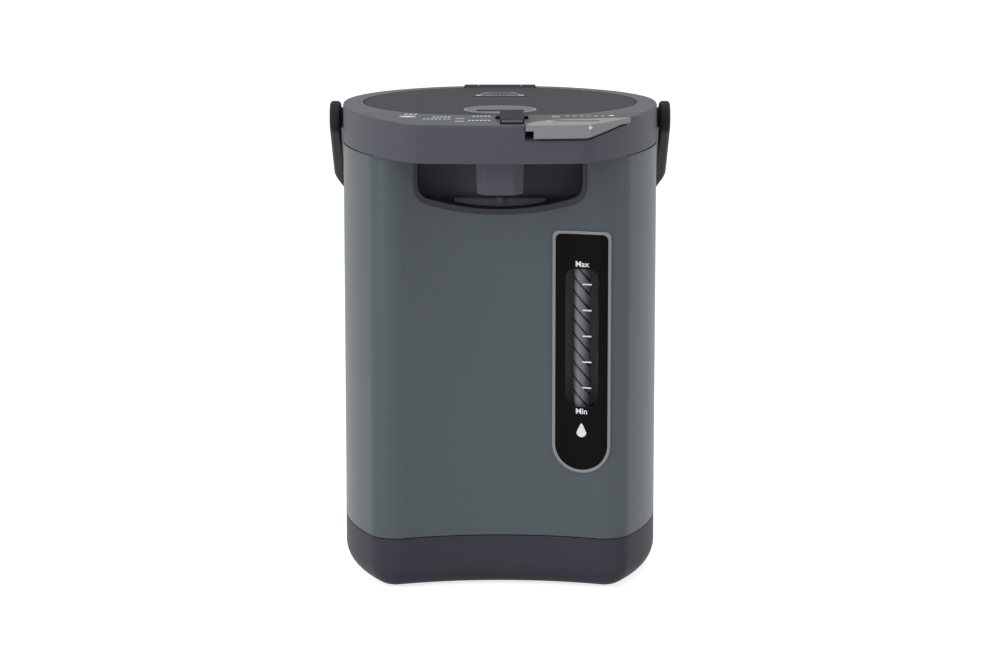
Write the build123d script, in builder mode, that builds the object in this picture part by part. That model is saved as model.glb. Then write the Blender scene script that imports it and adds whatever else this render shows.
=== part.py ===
from build123d import *
import os
from math import asin, cos, degrees, hypot, radians, sin, sqrt

os.makedirs("parts", exist_ok=True)

# Electric thermo pot, millimetres. +Z is up, the floor is z = 0, the front looks along -Y.
# The round back of the casing, the lid and the handle share one vertical axis at y = axis_y.

# Casing
half_width = 106.2
axis_y = 15.5
body_flank_radius = 187.0
body_front_y = -67.0
body_front_radius = 187.5
body_corner = 18.0
nose_flank_radius = 230.0
nose_y = -132.0
nose_front_radius = 339.0
nose_corner = 14.0
rim_round = 1.6
steel = 0.8
plastic = 2.2

# Heights
foot_height = 1.0
skirt_top = 35.0
shell_height = 258.0
collar_height = 24.6
shell_top = skirt_top + shell_height
deck_top = shell_top + collar_height
skirt_round = 15.0
lap_height = 4.0

# Clearances
fit_gap = 0.3
seam_gap = 0.6
running_gap = 0.05

# Lid and its well
lid_inset = 14.0
panel_arc_radius = 150.0
panel_back_y = -70.0
panel_end_y = -59.5
well_floor_top = deck_top - 12.5
well_floor = 2.0
lid_bottom = deck_top - 9.5
lid_wall = 1.6

# Tank
tank_shift = 8.5
tank_clearance = 26.2
shoulder_width = 10.0
tank_lift = 28.5
tank_height = 178.0
shoulder_height = 12.0
tank_y = axis_y + tank_shift
tank_radius = half_width - tank_clearance
neck_radius = tank_radius - shoulder_width
tank_floor_z = skirt_top + tank_lift
shoulder_z = tank_floor_z + tank_height
neck_z = shoulder_z + shoulder_height
flange = 6.0


def circles_meet(centre_a, radius_a, centre_b, radius_b):
    """The crossing point of two circles that lies furthest to +X."""
    span_x = centre_b[0] - centre_a[0]
    span_y = centre_b[1] - centre_a[1]
    span = hypot(span_x, span_y)
    along = (radius_a ** 2 - radius_b ** 2 + span ** 2) / (2 * span)
    across = sqrt(radius_a ** 2 - along ** 2)
    foot_x = centre_a[0] + along * span_x / span
    foot_y = centre_a[1] + along * span_y / span
    shift_x = across * span_y / span
    shift_y = across * span_x / span
    return max((foot_x - shift_x, foot_y + shift_y), (foot_x + shift_x, foot_y - shift_y))


def casing_plan(flank_radius, front_y, front_radius, bulge, corner_radius, grow):
    """Plan of the casing: a half-round back, two flanks and a front that bulges by its sign."""
    flank_centre = (half_width - flank_radius, axis_y)
    front_centre = (0, front_y + bulge * front_radius)
    flank_reach = flank_radius + grow
    front_reach = front_radius + bulge * grow
    tip = circles_meet(flank_centre, flank_reach, front_centre, front_reach)
    turn = degrees(asin((axis_y - tip[1]) / flank_reach))
    half_tip = tip[0] / 2
    quarter_y = front_centre[1] - bulge * sqrt(front_reach ** 2 - half_tip ** 2)
    with BuildSketch(mode=Mode.PRIVATE) as plan:
        with BuildLine():
            CenterArc((0, axis_y), half_width + grow, 0, 90)
            CenterArc(flank_centre, flank_reach, -turn, turn)
            ThreePointArc(tip, (half_tip, quarter_y), (0, front_y - grow))
            mirror(about=Plane.YZ)
        make_face()
        if corner_radius + grow > 0:
            tips = plan.vertices().filter_by_position(Axis.Y, tip[1] - 0.01, tip[1] + 0.01)
            fillet(tips, corner_radius + grow)
    return plan.sketch


def body_outline(grow):
    """Plan of the metal shell and the skirt, grown outwards by a margin."""
    return casing_plan(body_flank_radius, body_front_y, body_front_radius, -1, body_corner, grow)


def nose_outline(grow):
    """Plan of the top collar with its nose, grown outwards by a margin."""
    return casing_plan(nose_flank_radius, nose_y, nose_front_radius, 1, nose_corner, grow)


# The lid is round, and its front is cut to an arc by the control panel.
def behind_arc(grow):
    """Everything behind the lid's front arc, grown by a margin."""
    with BuildSketch(mode=Mode.PRIVATE) as area:
        with Locations((0, panel_back_y + panel_arc_radius)):
            Circle(panel_arc_radius + grow)
    return area.sketch


def behind_panel(grow):
    """Everything behind the panel: the lid's arc, and a straight line at each end."""
    with BuildSketch(mode=Mode.PRIVATE) as area:
        add(behind_arc(grow))
        with Locations((0, panel_end_y - grow)):
            Rectangle(4 * half_width, 4 * half_width, align=(Align.CENTER, Align.MIN))
    return area.sketch


def lid_outline(grow):
    """Plan of the lid, grown outwards by a margin."""
    with BuildSketch(mode=Mode.PRIVATE) as plan:
        with Locations((0, axis_y)):
            Circle(half_width - lid_inset + grow)
        add(behind_arc(grow - seam_gap / 2), mode=Mode.INTERSECT)
    return plan.sketch


body_plan = body_outline(0)
nose_plan = nose_outline(0)
lid_plan = lid_outline(0)

def in_front(limit_y):
    """A wide area in front of a line across the plan."""
    with BuildSketch(mode=Mode.PRIVATE) as area:
        with Locations((0, limit_y)):
            Rectangle(4 * half_width, 4 * half_width, align=(Align.CENTER, Align.MAX))
    return area.sketch


def finish(piece, name):
    """Names a finished piece and writes its file."""
    piece.part.label = name
    export_step(piece.part, "parts/" + name + ".step")


def across(x, y, z):
    """A plane facing +X with its origin on an axle that runs along X."""
    return Plane(origin=(x, y, z), x_dir=(0, 1, 0), z_dir=(1, 0, 0))


# ---------------------------------------------------------------- base skirt
skirt_floor_top = foot_height + 2 * plastic
cover_inset = 16.0
ledge_inset = 26.0
boss_height = 8.0
boss_radius = 4.0
screw_radius = 1.4
screw_head_radius = 2.8
screw_head_height = 1.4
screw_spots = [(58, -55), (-58, -55), (56, 76), (-56, 76)]
rod_radius = 2.0
rod_side_x = tank_radius + 10
rod_front_x = 75
rod_front_y = -42
rod_spots = [
    (rod_side_x, tank_y),
    (-rod_side_x, tank_y),
    (rod_front_x, rod_front_y),
    (-rod_front_x, rod_front_y),
]
socket_half_width = 17.0
socket_low = 9.0
socket_high = 27.0
socket_depth = 20.0
back_y = axis_y + half_width

with BuildPart() as skirt_cavity:
    with BuildSketch(Plane.XY.offset(skirt_floor_top)):
        add(body_outline(-plastic))
    extrude(amount=skirt_top)
    fillet(skirt_cavity.faces().sort_by(Axis.Z)[0].edges(), skirt_round - plastic)

with BuildPart() as base_skirt:
    with BuildSketch(Plane.XY.offset(foot_height)):
        add(body_plan)
    extrude(amount=skirt_top - foot_height)
    fillet(base_skirt.faces().sort_by(Axis.Z)[0].edges(), skirt_round)
    add(skirt_cavity.part, mode=Mode.SUBTRACT)
    # the bottom cover lies in a rebate below a ledge
    with BuildSketch(Plane.XY.offset(foot_height)):
        add(body_outline(-cover_inset))
    extrude(amount=plastic, mode=Mode.SUBTRACT)
    with BuildSketch(Plane.XY.offset(foot_height)):
        add(body_outline(-ledge_inset))
    extrude(amount=3 * plastic, mode=Mode.SUBTRACT)
    # lip that laps inside the metal shell
    with BuildSketch(Plane.XY.offset(skirt_top - lap_height)):
        add(body_outline(-steel - fit_gap))
        add(body_outline(-steel - fit_gap - plastic), mode=Mode.SUBTRACT)
    extrude(amount=2 * lap_height)
    # screw bosses
    with BuildSketch(Plane.XY.offset(foot_height + plastic)):
        with Locations(screw_spots):
            Circle(boss_radius)
    extrude(amount=boss_height)
    with BuildSketch(Plane.XY.offset(foot_height + plastic)):
        with Locations(screw_spots):
            Circle(screw_radius + running_gap)
    extrude(amount=boss_height, mode=Mode.SUBTRACT)
    # opening for the power socket
    with BuildSketch(Plane.XZ.offset(-back_y + socket_depth)):
        with Locations((0, (socket_low + socket_high) / 2)):
            Rectangle(2 * (socket_half_width + fit_gap), socket_high - socket_low + 2 * fit_gap)
    extrude(amount=-2 * socket_depth, mode=Mode.SUBTRACT)
finish(base_skirt, "base_skirt")

# ---------------------------------------------------------------- bottom cover, screws and feet
foot_radius = 9.0
foot_stud_radius = 3.0
foot_spots = [(56, -38), (-56, -38), (52, 58), (-52, 58)]

with BuildPart() as bottom_cover:
    with BuildSketch(Plane.XY.offset(foot_height)):
        add(body_outline(-cover_inset - fit_gap))
        with Locations(screw_spots):
            Circle(screw_radius + fit_gap, mode=Mode.SUBTRACT)
        with Locations(foot_spots):
            Circle(foot_stud_radius + running_gap, mode=Mode.SUBTRACT)
    extrude(amount=plastic)
    with BuildSketch(Plane.XY.offset(foot_height)):
        with Locations(screw_spots):
            Circle(screw_head_radius + fit_gap)
    extrude(amount=screw_head_height, mode=Mode.SUBTRACT)
finish(bottom_cover, "bottom_cover")

with BuildPart() as bottom_screws:
    with BuildSketch(Plane.XY.offset(foot_height)):
        with Locations(screw_spots):
            Circle(screw_head_radius)
    extrude(amount=screw_head_height)
    with BuildSketch(Plane.XY.offset(foot_height)):
        with Locations(screw_spots):
            Circle(screw_radius)
    extrude(amount=plastic + boss_height - 1)
finish(bottom_screws, "bottom_screws")

with BuildPart() as feet:
    with BuildSketch():
        with Locations(foot_spots):
            Circle(foot_radius)
    extrude(amount=foot_height)
    with BuildSketch():
        with Locations(foot_spots):
            Circle(foot_stud_radius)
    extrude(amount=foot_height + plastic)
    chamfer(feet.faces().group_by(Axis.Z)[0].edges(), 0.6)
finish(feet, "feet")

# ---------------------------------------------------------------- power socket
socket_wall = 3.0
socket_floor = 3.0
socket_proud = 0.8
pin_radius = 2.4
pin_pitch = 13.0
pin_length = 11.0
socket_middle = (socket_low + socket_high) / 2

with BuildPart() as power_inlet:
    with BuildSketch(Plane.XZ.offset(-back_y + socket_depth - fit_gap)):
        with Locations((0, socket_middle)):
            RectangleRounded(2 * socket_half_width, socket_high - socket_low, 2)
    extrude(amount=-socket_depth - socket_proud)
    with BuildSketch(Plane.XZ.offset(-back_y - socket_proud - fit_gap)):
        with Locations((0, socket_middle)):
            RectangleRounded(
                2 * (socket_half_width - socket_wall),
                socket_high - socket_low - 2 * socket_wall,
                3,
            )
    extrude(amount=socket_depth + socket_proud - socket_floor, mode=Mode.SUBTRACT)
    with BuildSketch(Plane.XZ.offset(-back_y + socket_depth)):
        with Locations((pin_pitch / 2, socket_middle), (-pin_pitch / 2, socket_middle)):
            Circle(pin_radius + running_gap)
    extrude(amount=-2 * socket_floor, mode=Mode.SUBTRACT)
finish(power_inlet, "power_inlet")

with BuildPart() as inlet_pins:
    with BuildSketch(Plane.XZ.offset(-back_y + socket_depth)):
        with Locations((pin_pitch / 2, socket_middle), (-pin_pitch / 2, socket_middle)):
            Circle(pin_radius)
    extrude(amount=-pin_length - socket_floor)
    fillet(inlet_pins.faces().group_by(Axis.Y)[-1].edges(), 1)
finish(inlet_pins, "inlet_pins")

# ---------------------------------------------------------------- bay and window shapes
bay_half_width = 56.1
bay_corner_z = shell_top - 31.1
bay_bottom_z = shell_top - 41.4
bay_round = 12.0
trim_width = 3.6
trim_side = 2.0
trim_proud = 1.0
trim_lap = 0.8
liner_wall = 1.2
bay_depth_y = -52.0
window_left = 34.6
window_right = 72.9
window_low = skirt_top + 45.0
window_high = skirt_top + 206.8
bezel_width = 1.9
lens_left = 43.2
lens_right = 64.6
lens_low = skirt_top + 89.4
lens_high = skirt_top + 181.7
lens_round = 6.0


def bay_shape(side, low):
    """The bay seen from the front, in x and z, drawn in at its sides and at its bottom."""
    half = bay_half_width - side
    corner_z = bay_corner_z + low
    with BuildSketch(Plane.XZ, mode=Mode.PRIVATE) as shape:
        with BuildLine():
            Polyline((half, corner_z), (half, shell_top), (-half, shell_top), (-half, corner_z))
            ThreePointArc((half, corner_z), (0, bay_bottom_z + low), (-half, corner_z))
        make_face()
        corners = shape.vertices().group_by(Axis.Y)[0]
        fillet(corners, bay_round - side)
    return shape.sketch


def window_shape(shrink):
    """The window plate seen from the front: round below, small corners above."""
    left = window_left + shrink
    right = window_right - shrink
    radius = (right - left) / 2
    middle = (left + right) / 2
    low = window_low + shrink
    high = window_high - shrink
    with BuildSketch(Plane.XZ, mode=Mode.PRIVATE) as shape:
        with BuildLine():
            Polyline((left, low + radius), (left, high), (right, high), (right, low + radius))
            ThreePointArc((right, low + radius), (middle, low), (left, low + radius))
        make_face()
        fillet(shape.vertices().group_by(Axis.Y)[-1], 4)
    return shape.sketch


def slot_shape(shrink):
    """The clear slot in the window plate."""
    with BuildSketch(Plane.XZ, mode=Mode.PRIVATE) as shape:
        with Locations(((lens_left + lens_right) / 2, (lens_low + lens_high) / 2)):
            RectangleRounded(
                lens_right - lens_left - 2 * shrink,
                lens_high - lens_low - 2 * shrink,
                lens_round - shrink,
            )
    return shape.sketch


def front_band(outer, inner, low, high):
    """A wall that follows the casing's plan between two offsets."""
    with BuildPart(mode=Mode.PRIVATE) as band:
        with BuildSketch(Plane.XY.offset(low)):
            add(body_outline(outer))
            add(body_outline(inner), mode=Mode.SUBTRACT)
        extrude(amount=high - low)
    return band.part


def pressed(shape, depth):
    """A shape in x and z run forwards from the casing's axis."""
    with BuildPart(mode=Mode.PRIVATE) as block:
        with BuildSketch(Plane.XZ):
            add(shape)
        extrude(amount=depth)
    return block.part


# ---------------------------------------------------------------- metal shell
reach = 2 * half_width
shell_bay_cut = pressed(bay_shape(trim_lap, trim_lap), reach)
slot_block = pressed(slot_shape(0), reach)

with BuildPart() as outer_shell:
    with BuildSketch(Plane.XY.offset(skirt_top)):
        add(body_plan)
        add(body_outline(-steel), mode=Mode.SUBTRACT)
    extrude(amount=shell_top - skirt_top)
    add(shell_bay_cut, mode=Mode.SUBTRACT)
    add(slot_block, mode=Mode.SUBTRACT)
finish(outer_shell, "outer_shell")

# ---------------------------------------------------------------- bay trim and liner
trim_flange_band = front_band(trim_proud, running_gap, bay_bottom_z - 1, shell_top)
trim_neck_band = front_band(trim_proud, -3 * steel, bay_bottom_z - 1, shell_top)
trim_outer = pressed(bay_shape(0, 0), reach)
trim_neck_outer = pressed(bay_shape(trim_lap + fit_gap, trim_lap + fit_gap), reach)
trim_inner = pressed(bay_shape(trim_side, trim_width), reach)

with BuildPart() as trim_neck:
    add(trim_neck_band)
    add(trim_neck_outer, mode=Mode.INTERSECT)

with BuildPart() as bay_trim:
    add(trim_flange_band)
    add(trim_outer, mode=Mode.INTERSECT)
    add(trim_neck.part)
    add(trim_inner, mode=Mode.SUBTRACT)
finish(bay_trim, "bay_trim")

liner_plan = body_outline(-3 * steel)
cup_hinge_y = -60.0
cup_hinge_z = shell_top - 32.6
cup_half_width = 27.5
cup_pin_radius = 1.0
cup_ear = 2.5
cup_knuckle = 1.9

with BuildPart() as bay_liner:
    with BuildSketch(Plane.XZ.offset(-bay_depth_y)):
        add(bay_shape(trim_side - liner_wall, trim_width - liner_wall))
    extrude(amount=reach)
    with BuildSketch(Plane.XZ.offset(-bay_depth_y + liner_wall)):
        add(bay_shape(trim_side, trim_width))
    extrude(amount=reach, mode=Mode.SUBTRACT)
    with BuildSketch(Plane.XY.offset(bay_bottom_z - 5)):
        add(liner_plan)
    extrude(amount=shell_top - bay_bottom_z + 5, mode=Mode.INTERSECT)
    # ears for the cup lever's pin
    for side in (-1, 1):
        middle_x = side * (cup_half_width + running_gap + cup_ear / 2)
        with BuildSketch(across(middle_x, bay_depth_y - liner_wall / 2, cup_hinge_z)):
            Rectangle(
                -cup_hinge_y + bay_depth_y - liner_wall / 2,
                2 * cup_knuckle,
                align=(Align.MAX, Align.CENTER),
            )
            with Locations((cup_hinge_y - bay_depth_y + liner_wall / 2, 0)):
                Circle(cup_knuckle)
        extrude(amount=cup_ear / 2, both=True)
    with BuildSketch(across(0, cup_hinge_y, cup_hinge_z)):
        Circle(cup_pin_radius + running_gap)
    extrude(amount=cup_half_width + 2 * cup_ear, both=True, mode=Mode.SUBTRACT)
finish(bay_liner, "bay_liner")

with BuildPart() as cup_lever_pin:
    with BuildSketch(across(0, cup_hinge_y, cup_hinge_z)):
        Circle(cup_pin_radius)
    extrude(amount=cup_half_width + cup_ear, both=True)
finish(cup_lever_pin, "cup_lever_pin")

# ---------------------------------------------------------------- cup lever in the bay
cup_plate = 2.0
cup_floor_gap = 1.1
cup_nub = 4.0
cup_plate_drop = cup_hinge_z - bay_bottom_z - trim_width
cup_plate_block = pressed(bay_shape(trim_side, trim_width + cup_floor_gap), reach)

with BuildPart() as cup_lever:
    with BuildSketch(across(0, cup_hinge_y, cup_hinge_z)):
        with Locations((-cup_knuckle + cup_plate / 2, 0)):
            Rectangle(cup_plate, cup_plate_drop, align=(Align.CENTER, Align.MAX))
    extrude(amount=cup_half_width, both=True)
    # the plate's lower edge follows the bay's floor
    add(cup_plate_block, mode=Mode.INTERSECT)
    with BuildSketch(across(0, cup_hinge_y, cup_hinge_z)):
        Circle(cup_knuckle)
    extrude(amount=cup_half_width, both=True)
    with Locations((0, cup_hinge_y - cup_knuckle, cup_hinge_z)):
        Box(cup_nub, cup_nub, cup_nub, align=(Align.CENTER, Align.CENTER, Align.CENTER))
    with BuildSketch(across(0, cup_hinge_y, cup_hinge_z)):
        Circle(cup_pin_radius + running_gap)
    extrude(amount=cup_half_width + cup_ear, both=True, mode=Mode.SUBTRACT)
finish(cup_lever, "cup_lever")

# ---------------------------------------------------------------- window in the shell
lens_thick = 1.2
plate_thick = 0.6
bezel_proud = 1.0
window_band_low = window_low - 2
window_band_high = window_high + 2
lens_band = front_band(0, -steel - lens_thick, window_band_low, window_band_high)
plate_band = front_band(plate_thick, running_gap, window_band_low, window_band_high)
bezel_band = front_band(bezel_proud, running_gap, window_band_low, window_band_high)
lens_block = pressed(slot_shape(fit_gap), reach)
plate_block = pressed(window_shape(bezel_width), reach)
bezel_block = pressed(window_shape(0), reach)

with BuildPart() as window_lens:
    add(lens_band)
    add(lens_block, mode=Mode.INTERSECT)
finish(window_lens, "window_lens")

with BuildPart() as window_panel:
    add(plate_band)
    add(plate_block, mode=Mode.INTERSECT)
    add(slot_block, mode=Mode.SUBTRACT)
finish(window_panel, "window_panel")

with BuildPart() as window_bezel:
    add(bezel_band)
    add(bezel_block, mode=Mode.INTERSECT)
    add(plate_block, mode=Mode.SUBTRACT)
finish(window_bezel, "window_bezel")

# ---------------------------------------------------------------- lever outline and pocket
lever_bow_x = 54.3
lever_bow_y = -133.0
lever_bow_radius = 38.0
lever_proud = 2.0
lever_corner = 3.0
lever_back_rise = 15.0


def lever_outline(grow, skin_grow, corner):
    """Plan of the dispense lever: a bow and a slanting back edge, the nose's own outline in front."""
    bow = lever_bow_radius + grow
    with BuildSketch(mode=Mode.PRIVATE) as plan:
        with Locations((lever_bow_x, lever_bow_y)):
            Circle(bow)
        with BuildLine():
            Polyline(
                (lever_bow_x, lever_bow_y - bow),
                (lever_bow_x, lever_bow_y + bow),
                (half_width, lever_bow_y + bow + lever_back_rise),
                (half_width, lever_bow_y - bow),
                close=True,
            )
        make_face()
        skin = casing_plan(nose_flank_radius, nose_y, nose_front_radius, 1, corner, skin_grow)
        add(skin, mode=Mode.INTERSECT)
    return plan.sketch


lever_top = deck_top + 0.4
lever_plate = 1.8
lever_apron_low = deck_top - 8.2
lever_apron_gap = 0.7
lever_end_low = deck_top - 3.4
apron_turn_x = 55.5
apron_end_x = 78.0
apron_climb = 5.2
apron_shadow = 1.8
pocket_floor = deck_top - 8.0
pocket_wall = 1.6
pocket_sill = deck_top - 4.8
lever_hinge_y = -98.5
lever_hinge_z = deck_top - 4.2
lever_pin_radius = 1.2
lever_barrel = 2.2
lever_tab = 5.0
lever_tab_spots = (52.5, 68.5)
lever_ear = 3.5
lever_ear_spots = (47.9, 73.1)

# ---------------------------------------------------------------- handle pivots and lid hinge places
pivot_z = deck_top - 11.0
pivot_radius = 7.0
pivot_flange = 8.2
pivot_shaft = 4.0
hinge_y = back_y - 11.4
hinge_z = deck_top - 2.2
hinge_barrel = 4.0
hinge_pin_radius = 1.5
hinge_half_width = 25.0
knuckle_half_width = 15.0
hinge_bed = deck_top - 8.0
hinge_bed_wall = 1.5

# ---------------------------------------------------------------- slider places
slider_left = 0.0
slider_right = 15.4
slider_back_y = -83.0
slider_front_y = -118.0
slider_top = deck_top + 4.7
slider_brow = deck_top + 2.3
slider_travel = 7.0
track_thick = 1.0
stem_half_width = 4.0
stem_back_y = -93.0
stem_front_y = -104.0
slider_middle = (slider_left + slider_right) / 2

# ---------------------------------------------------------------- collar
deck = 2.5
deck_low = deck_top - deck
panel_margin = 1.9
panel_thick = 1.2
panel_seat = deck_top - panel_thick
shelf = 2.0
lip_low = shell_top - lap_height
well_wall = 2.0
well_floor_low = well_floor_top - well_floor
catch_half_width = 9.5
catch_low = deck_top - 6.4
catch_high = deck_top - 2.8
notch_right = 21.4
lever_left = lever_bow_x - lever_bow_radius

with BuildSketch() as panel_sketch:
    add(nose_outline(-panel_margin))
    add(behind_panel(0), mode=Mode.SUBTRACT)
panel_plan = panel_sketch.sketch


def apron_edge(drop):
    """Everything below the apron's lower edge, which climbs towards its right end."""
    low = lever_apron_low - drop
    with BuildSketch(Plane.XZ, mode=Mode.PRIVATE) as area:
        with BuildLine():
            Polyline(
                (lever_left, pocket_floor - half_width),
                (lever_left, low),
                (apron_turn_x, low),
                (apron_end_x, low + apron_climb),
                (half_width, low + apron_climb),
                (half_width, pocket_floor - half_width),
                close=True,
            )
        make_face()
    return area.sketch


with BuildPart() as shadow_gap:
    with BuildSketch(Plane.XY.offset(lever_apron_low - apron_shadow)):
        add(lever_outline(0, lever_proud, lever_corner))
        add(nose_outline(-apron_shadow), mode=Mode.SUBTRACT)
        add(in_front(lever_hinge_y), mode=Mode.INTERSECT)
    extrude(amount=deck_top)
    add(pressed(apron_edge(apron_shadow), reach), mode=Mode.SUBTRACT)

with BuildPart() as collar:
    with BuildSketch(Plane.XY.offset(shell_top)):
        add(nose_plan)
    extrude(amount=deck_top - shell_top)
    fillet(collar.faces().sort_by(Axis.Z)[-1].edges(), rim_round)
    with BuildSketch(Plane.XY.offset(shell_top)):
        add(nose_outline(-plastic))
    extrude(amount=deck_low - shell_top, mode=Mode.SUBTRACT)
    # shelf over the shell's rim, and the lip that laps inside it
    with BuildSketch(Plane.XY.offset(shell_top)):
        add(nose_outline(-plastic / 2))
        add(body_outline(-steel - fit_gap - plastic), mode=Mode.SUBTRACT)
        add(in_front(bay_depth_y), mode=Mode.SUBTRACT)
    extrude(amount=shelf)
    with BuildSketch(Plane.XY.offset(lip_low)):
        add(body_outline(-steel - fit_gap))
        add(body_outline(-steel - fit_gap - plastic), mode=Mode.SUBTRACT)
        add(in_front(bay_depth_y), mode=Mode.SUBTRACT)
    extrude(amount=lap_height + shelf)
    # well for the lid
    with BuildSketch(Plane.XY.offset(well_floor_low)):
        add(lid_outline(seam_gap + well_wall))
    extrude(amount=deck_low - well_floor_low)
    with BuildSketch(Plane.XY.offset(well_floor_top)):
        add(lid_outline(seam_gap))
    extrude(amount=deck_top, mode=Mode.SUBTRACT)
    with BuildSketch(Plane.XY.offset(well_floor_low)):
        with Locations((0, tank_y)):
            Circle(neck_radius + fit_gap)
    extrude(amount=2 * well_floor, mode=Mode.SUBTRACT)
    # bed for the lid's hinge
    with BuildSketch(Plane.XY.offset(well_floor_top)):
        with Locations((0, back_y - plastic / 2)):
            Rectangle(
                2 * (hinge_half_width + well_wall),
                back_y - plastic / 2 - hinge_y + 2,
                align=(Align.CENTER, Align.MAX),
            )
        add(nose_outline(-plastic / 2), mode=Mode.INTERSECT)
    extrude(amount=deck_low - well_floor_top)
    with BuildSketch(Plane.XY.offset(hinge_bed)):
        with Locations((0, hinge_y + hinge_barrel + 1.5)):
            Rectangle(
                2 * (hinge_half_width + seam_gap),
                3 * hinge_barrel,
                align=(Align.CENTER, Align.MAX),
            )
    extrude(amount=deck_top, mode=Mode.SUBTRACT)
    # recess for the control panel
    with BuildSketch(Plane.XY.offset(panel_seat)):
        add(panel_plan)
    extrude(amount=deck_top, mode=Mode.SUBTRACT)
    # pocket under the dispense lever
    with BuildSketch(Plane.XY.offset(pocket_floor - pocket_wall)):
        add(lever_outline(seam_gap + pocket_wall, -plastic / 2, nose_corner))
    extrude(amount=deck_low - pocket_floor + pocket_wall)
    with BuildSketch(Plane.XY.offset(pocket_floor)):
        add(lever_outline(seam_gap, -plastic, nose_corner))
    extrude(amount=deck_top, mode=Mode.SUBTRACT)
    with BuildSketch(Plane.XY.offset(pocket_sill)):
        add(lever_outline(seam_gap, lever_proud, lever_corner))
    extrude(amount=deck_top, mode=Mode.SUBTRACT)
    with BuildSketch(Plane.XY.offset(lever_apron_low - seam_gap)):
        with Locations((lever_left - seam_gap, nose_y)):
            Rectangle(notch_right + seam_gap - lever_left, 4 * plastic, align=(Align.MIN, Align.CENTER))
    extrude(amount=deck_top, mode=Mode.SUBTRACT)
    # dark gap under the apron's slanting edge
    add(shadow_gap.part, mode=Mode.SUBTRACT)
    for x in lever_ear_spots:
        with BuildSketch(across(x, lever_hinge_y, lever_hinge_z)):
            Circle(lever_barrel - fit_gap)
            Rectangle(
                2 * (lever_barrel - fit_gap),
                lever_hinge_z - pocket_floor,
                align=(Align.CENTER, Align.MAX),
            )
        extrude(amount=lever_ear / 2, both=True)
    with BuildSketch(across(0, lever_hinge_y, lever_hinge_z)):
        Circle(lever_pin_radius + running_gap)
    extrude(amount=lever_ear_spots[1] + lever_ear, mode=Mode.SUBTRACT)
    # slot for the slider's stem
    with BuildSketch(Plane.XY.offset(deck_low - 1)):
        with Locations((slider_middle, stem_back_y + fit_gap)):
            Rectangle(
                2 * (stem_half_width + fit_gap),
                stem_back_y - stem_front_y + slider_travel + 2 * fit_gap,
                align=(Align.CENTER, Align.MAX),
            )
    extrude(amount=deck_top, mode=Mode.SUBTRACT)
    # recess that the lid's latch springs into
    with BuildSketch(Plane.XY.offset(catch_low)):
        with Locations((0, panel_back_y)):
            Rectangle(2 * catch_half_width, 2 * (well_wall + seam_gap))
    extrude(amount=catch_high - catch_low, mode=Mode.SUBTRACT)
    # holes for the handle's pivots
    with BuildSketch(across(0, axis_y, pivot_z)):
        Circle(pivot_radius + running_gap)
    extrude(amount=2 * half_width, both=True, mode=Mode.SUBTRACT)
finish(collar, "collar")

# ---------------------------------------------------------------- nose underside
cover_thick = 2.0
hose_rise = (66, -60)
hose_radius = 4.0
nozzle_radius = 4.0
nozzle_bore = 2.8
nozzle_y = -90.0
shroud_low = shell_top - 23.8
shroud_half_width = 14.9
shroud_facet = 8.7
shroud_taper = 2.0
shroud_front_y = -103.0
shroud_side_y = -95.0
shroud_back_y = -70.0
shroud_wall = 2.0

with BuildPart() as nose_cover:
    with BuildSketch(Plane.XY.offset(shell_top)):
        add(nose_outline(-plastic - fit_gap))
        add(in_front(bay_depth_y - fit_gap), mode=Mode.INTERSECT)
        with Locations((0, nozzle_y)):
            Circle(nozzle_radius + running_gap, mode=Mode.SUBTRACT)
    extrude(amount=cover_thick)
    # room for the hose that climbs beside the bay
    with BuildSketch(Plane.XY.offset(shell_top)):
        with Locations(hose_rise):
            RectangleRounded(4 * hose_radius, 3 * hose_radius, hose_radius)
    extrude(amount=cover_thick, mode=Mode.SUBTRACT)
finish(nose_cover, "nose_cover")


def shroud_outline(shrink):
    """Plan of the spout shroud: a box with its front corners cut away."""
    half = shroud_half_width - shrink
    facet = shroud_facet - shrink / 2
    with BuildSketch(mode=Mode.PRIVATE) as plan:
        with BuildLine():
            Polyline(
                (facet, shroud_front_y + shrink),
                (half, shroud_side_y + shrink / 2),
                (half, shroud_back_y - shrink),
                (-half, shroud_back_y - shrink),
                (-half, shroud_side_y + shrink / 2),
                (-facet, shroud_front_y + shrink),
                close=True,
            )
        make_face()
    return plan.sketch


with BuildPart() as spout_shroud:
    with BuildSketch(Plane.XY.offset(shroud_low)):
        add(shroud_outline(0))
    extrude(amount=shell_top - shroud_low, taper=-shroud_taper)
    with BuildSketch(Plane.XY.offset(shroud_low)):
        add(shroud_outline(shroud_wall))
    extrude(amount=shell_top - shroud_low, taper=-shroud_taper, mode=Mode.SUBTRACT)
finish(spout_shroud, "spout_shroud")

# ---------------------------------------------------------------- water path above the tank
hose_wall = 1.2
hose_level = shell_top + 6.0
nozzle_low = shroud_low + 2
nozzle_collar = 3.0
tube_x = 54.0
tube_y = -65.0
tube_radius = 5.5
tube_bore = 4.2
tube_low = skirt_top + 36.5
tube_high = tube_low + 160.0
seal_radius = 7.5
seal_overlap = 8.0
seal_height = 14.0
stub_radius = 2.5
stub_bore = 1.6
stub_length = 8.0
side_stub = 16.0
hose_start_x = 7.5

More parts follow.
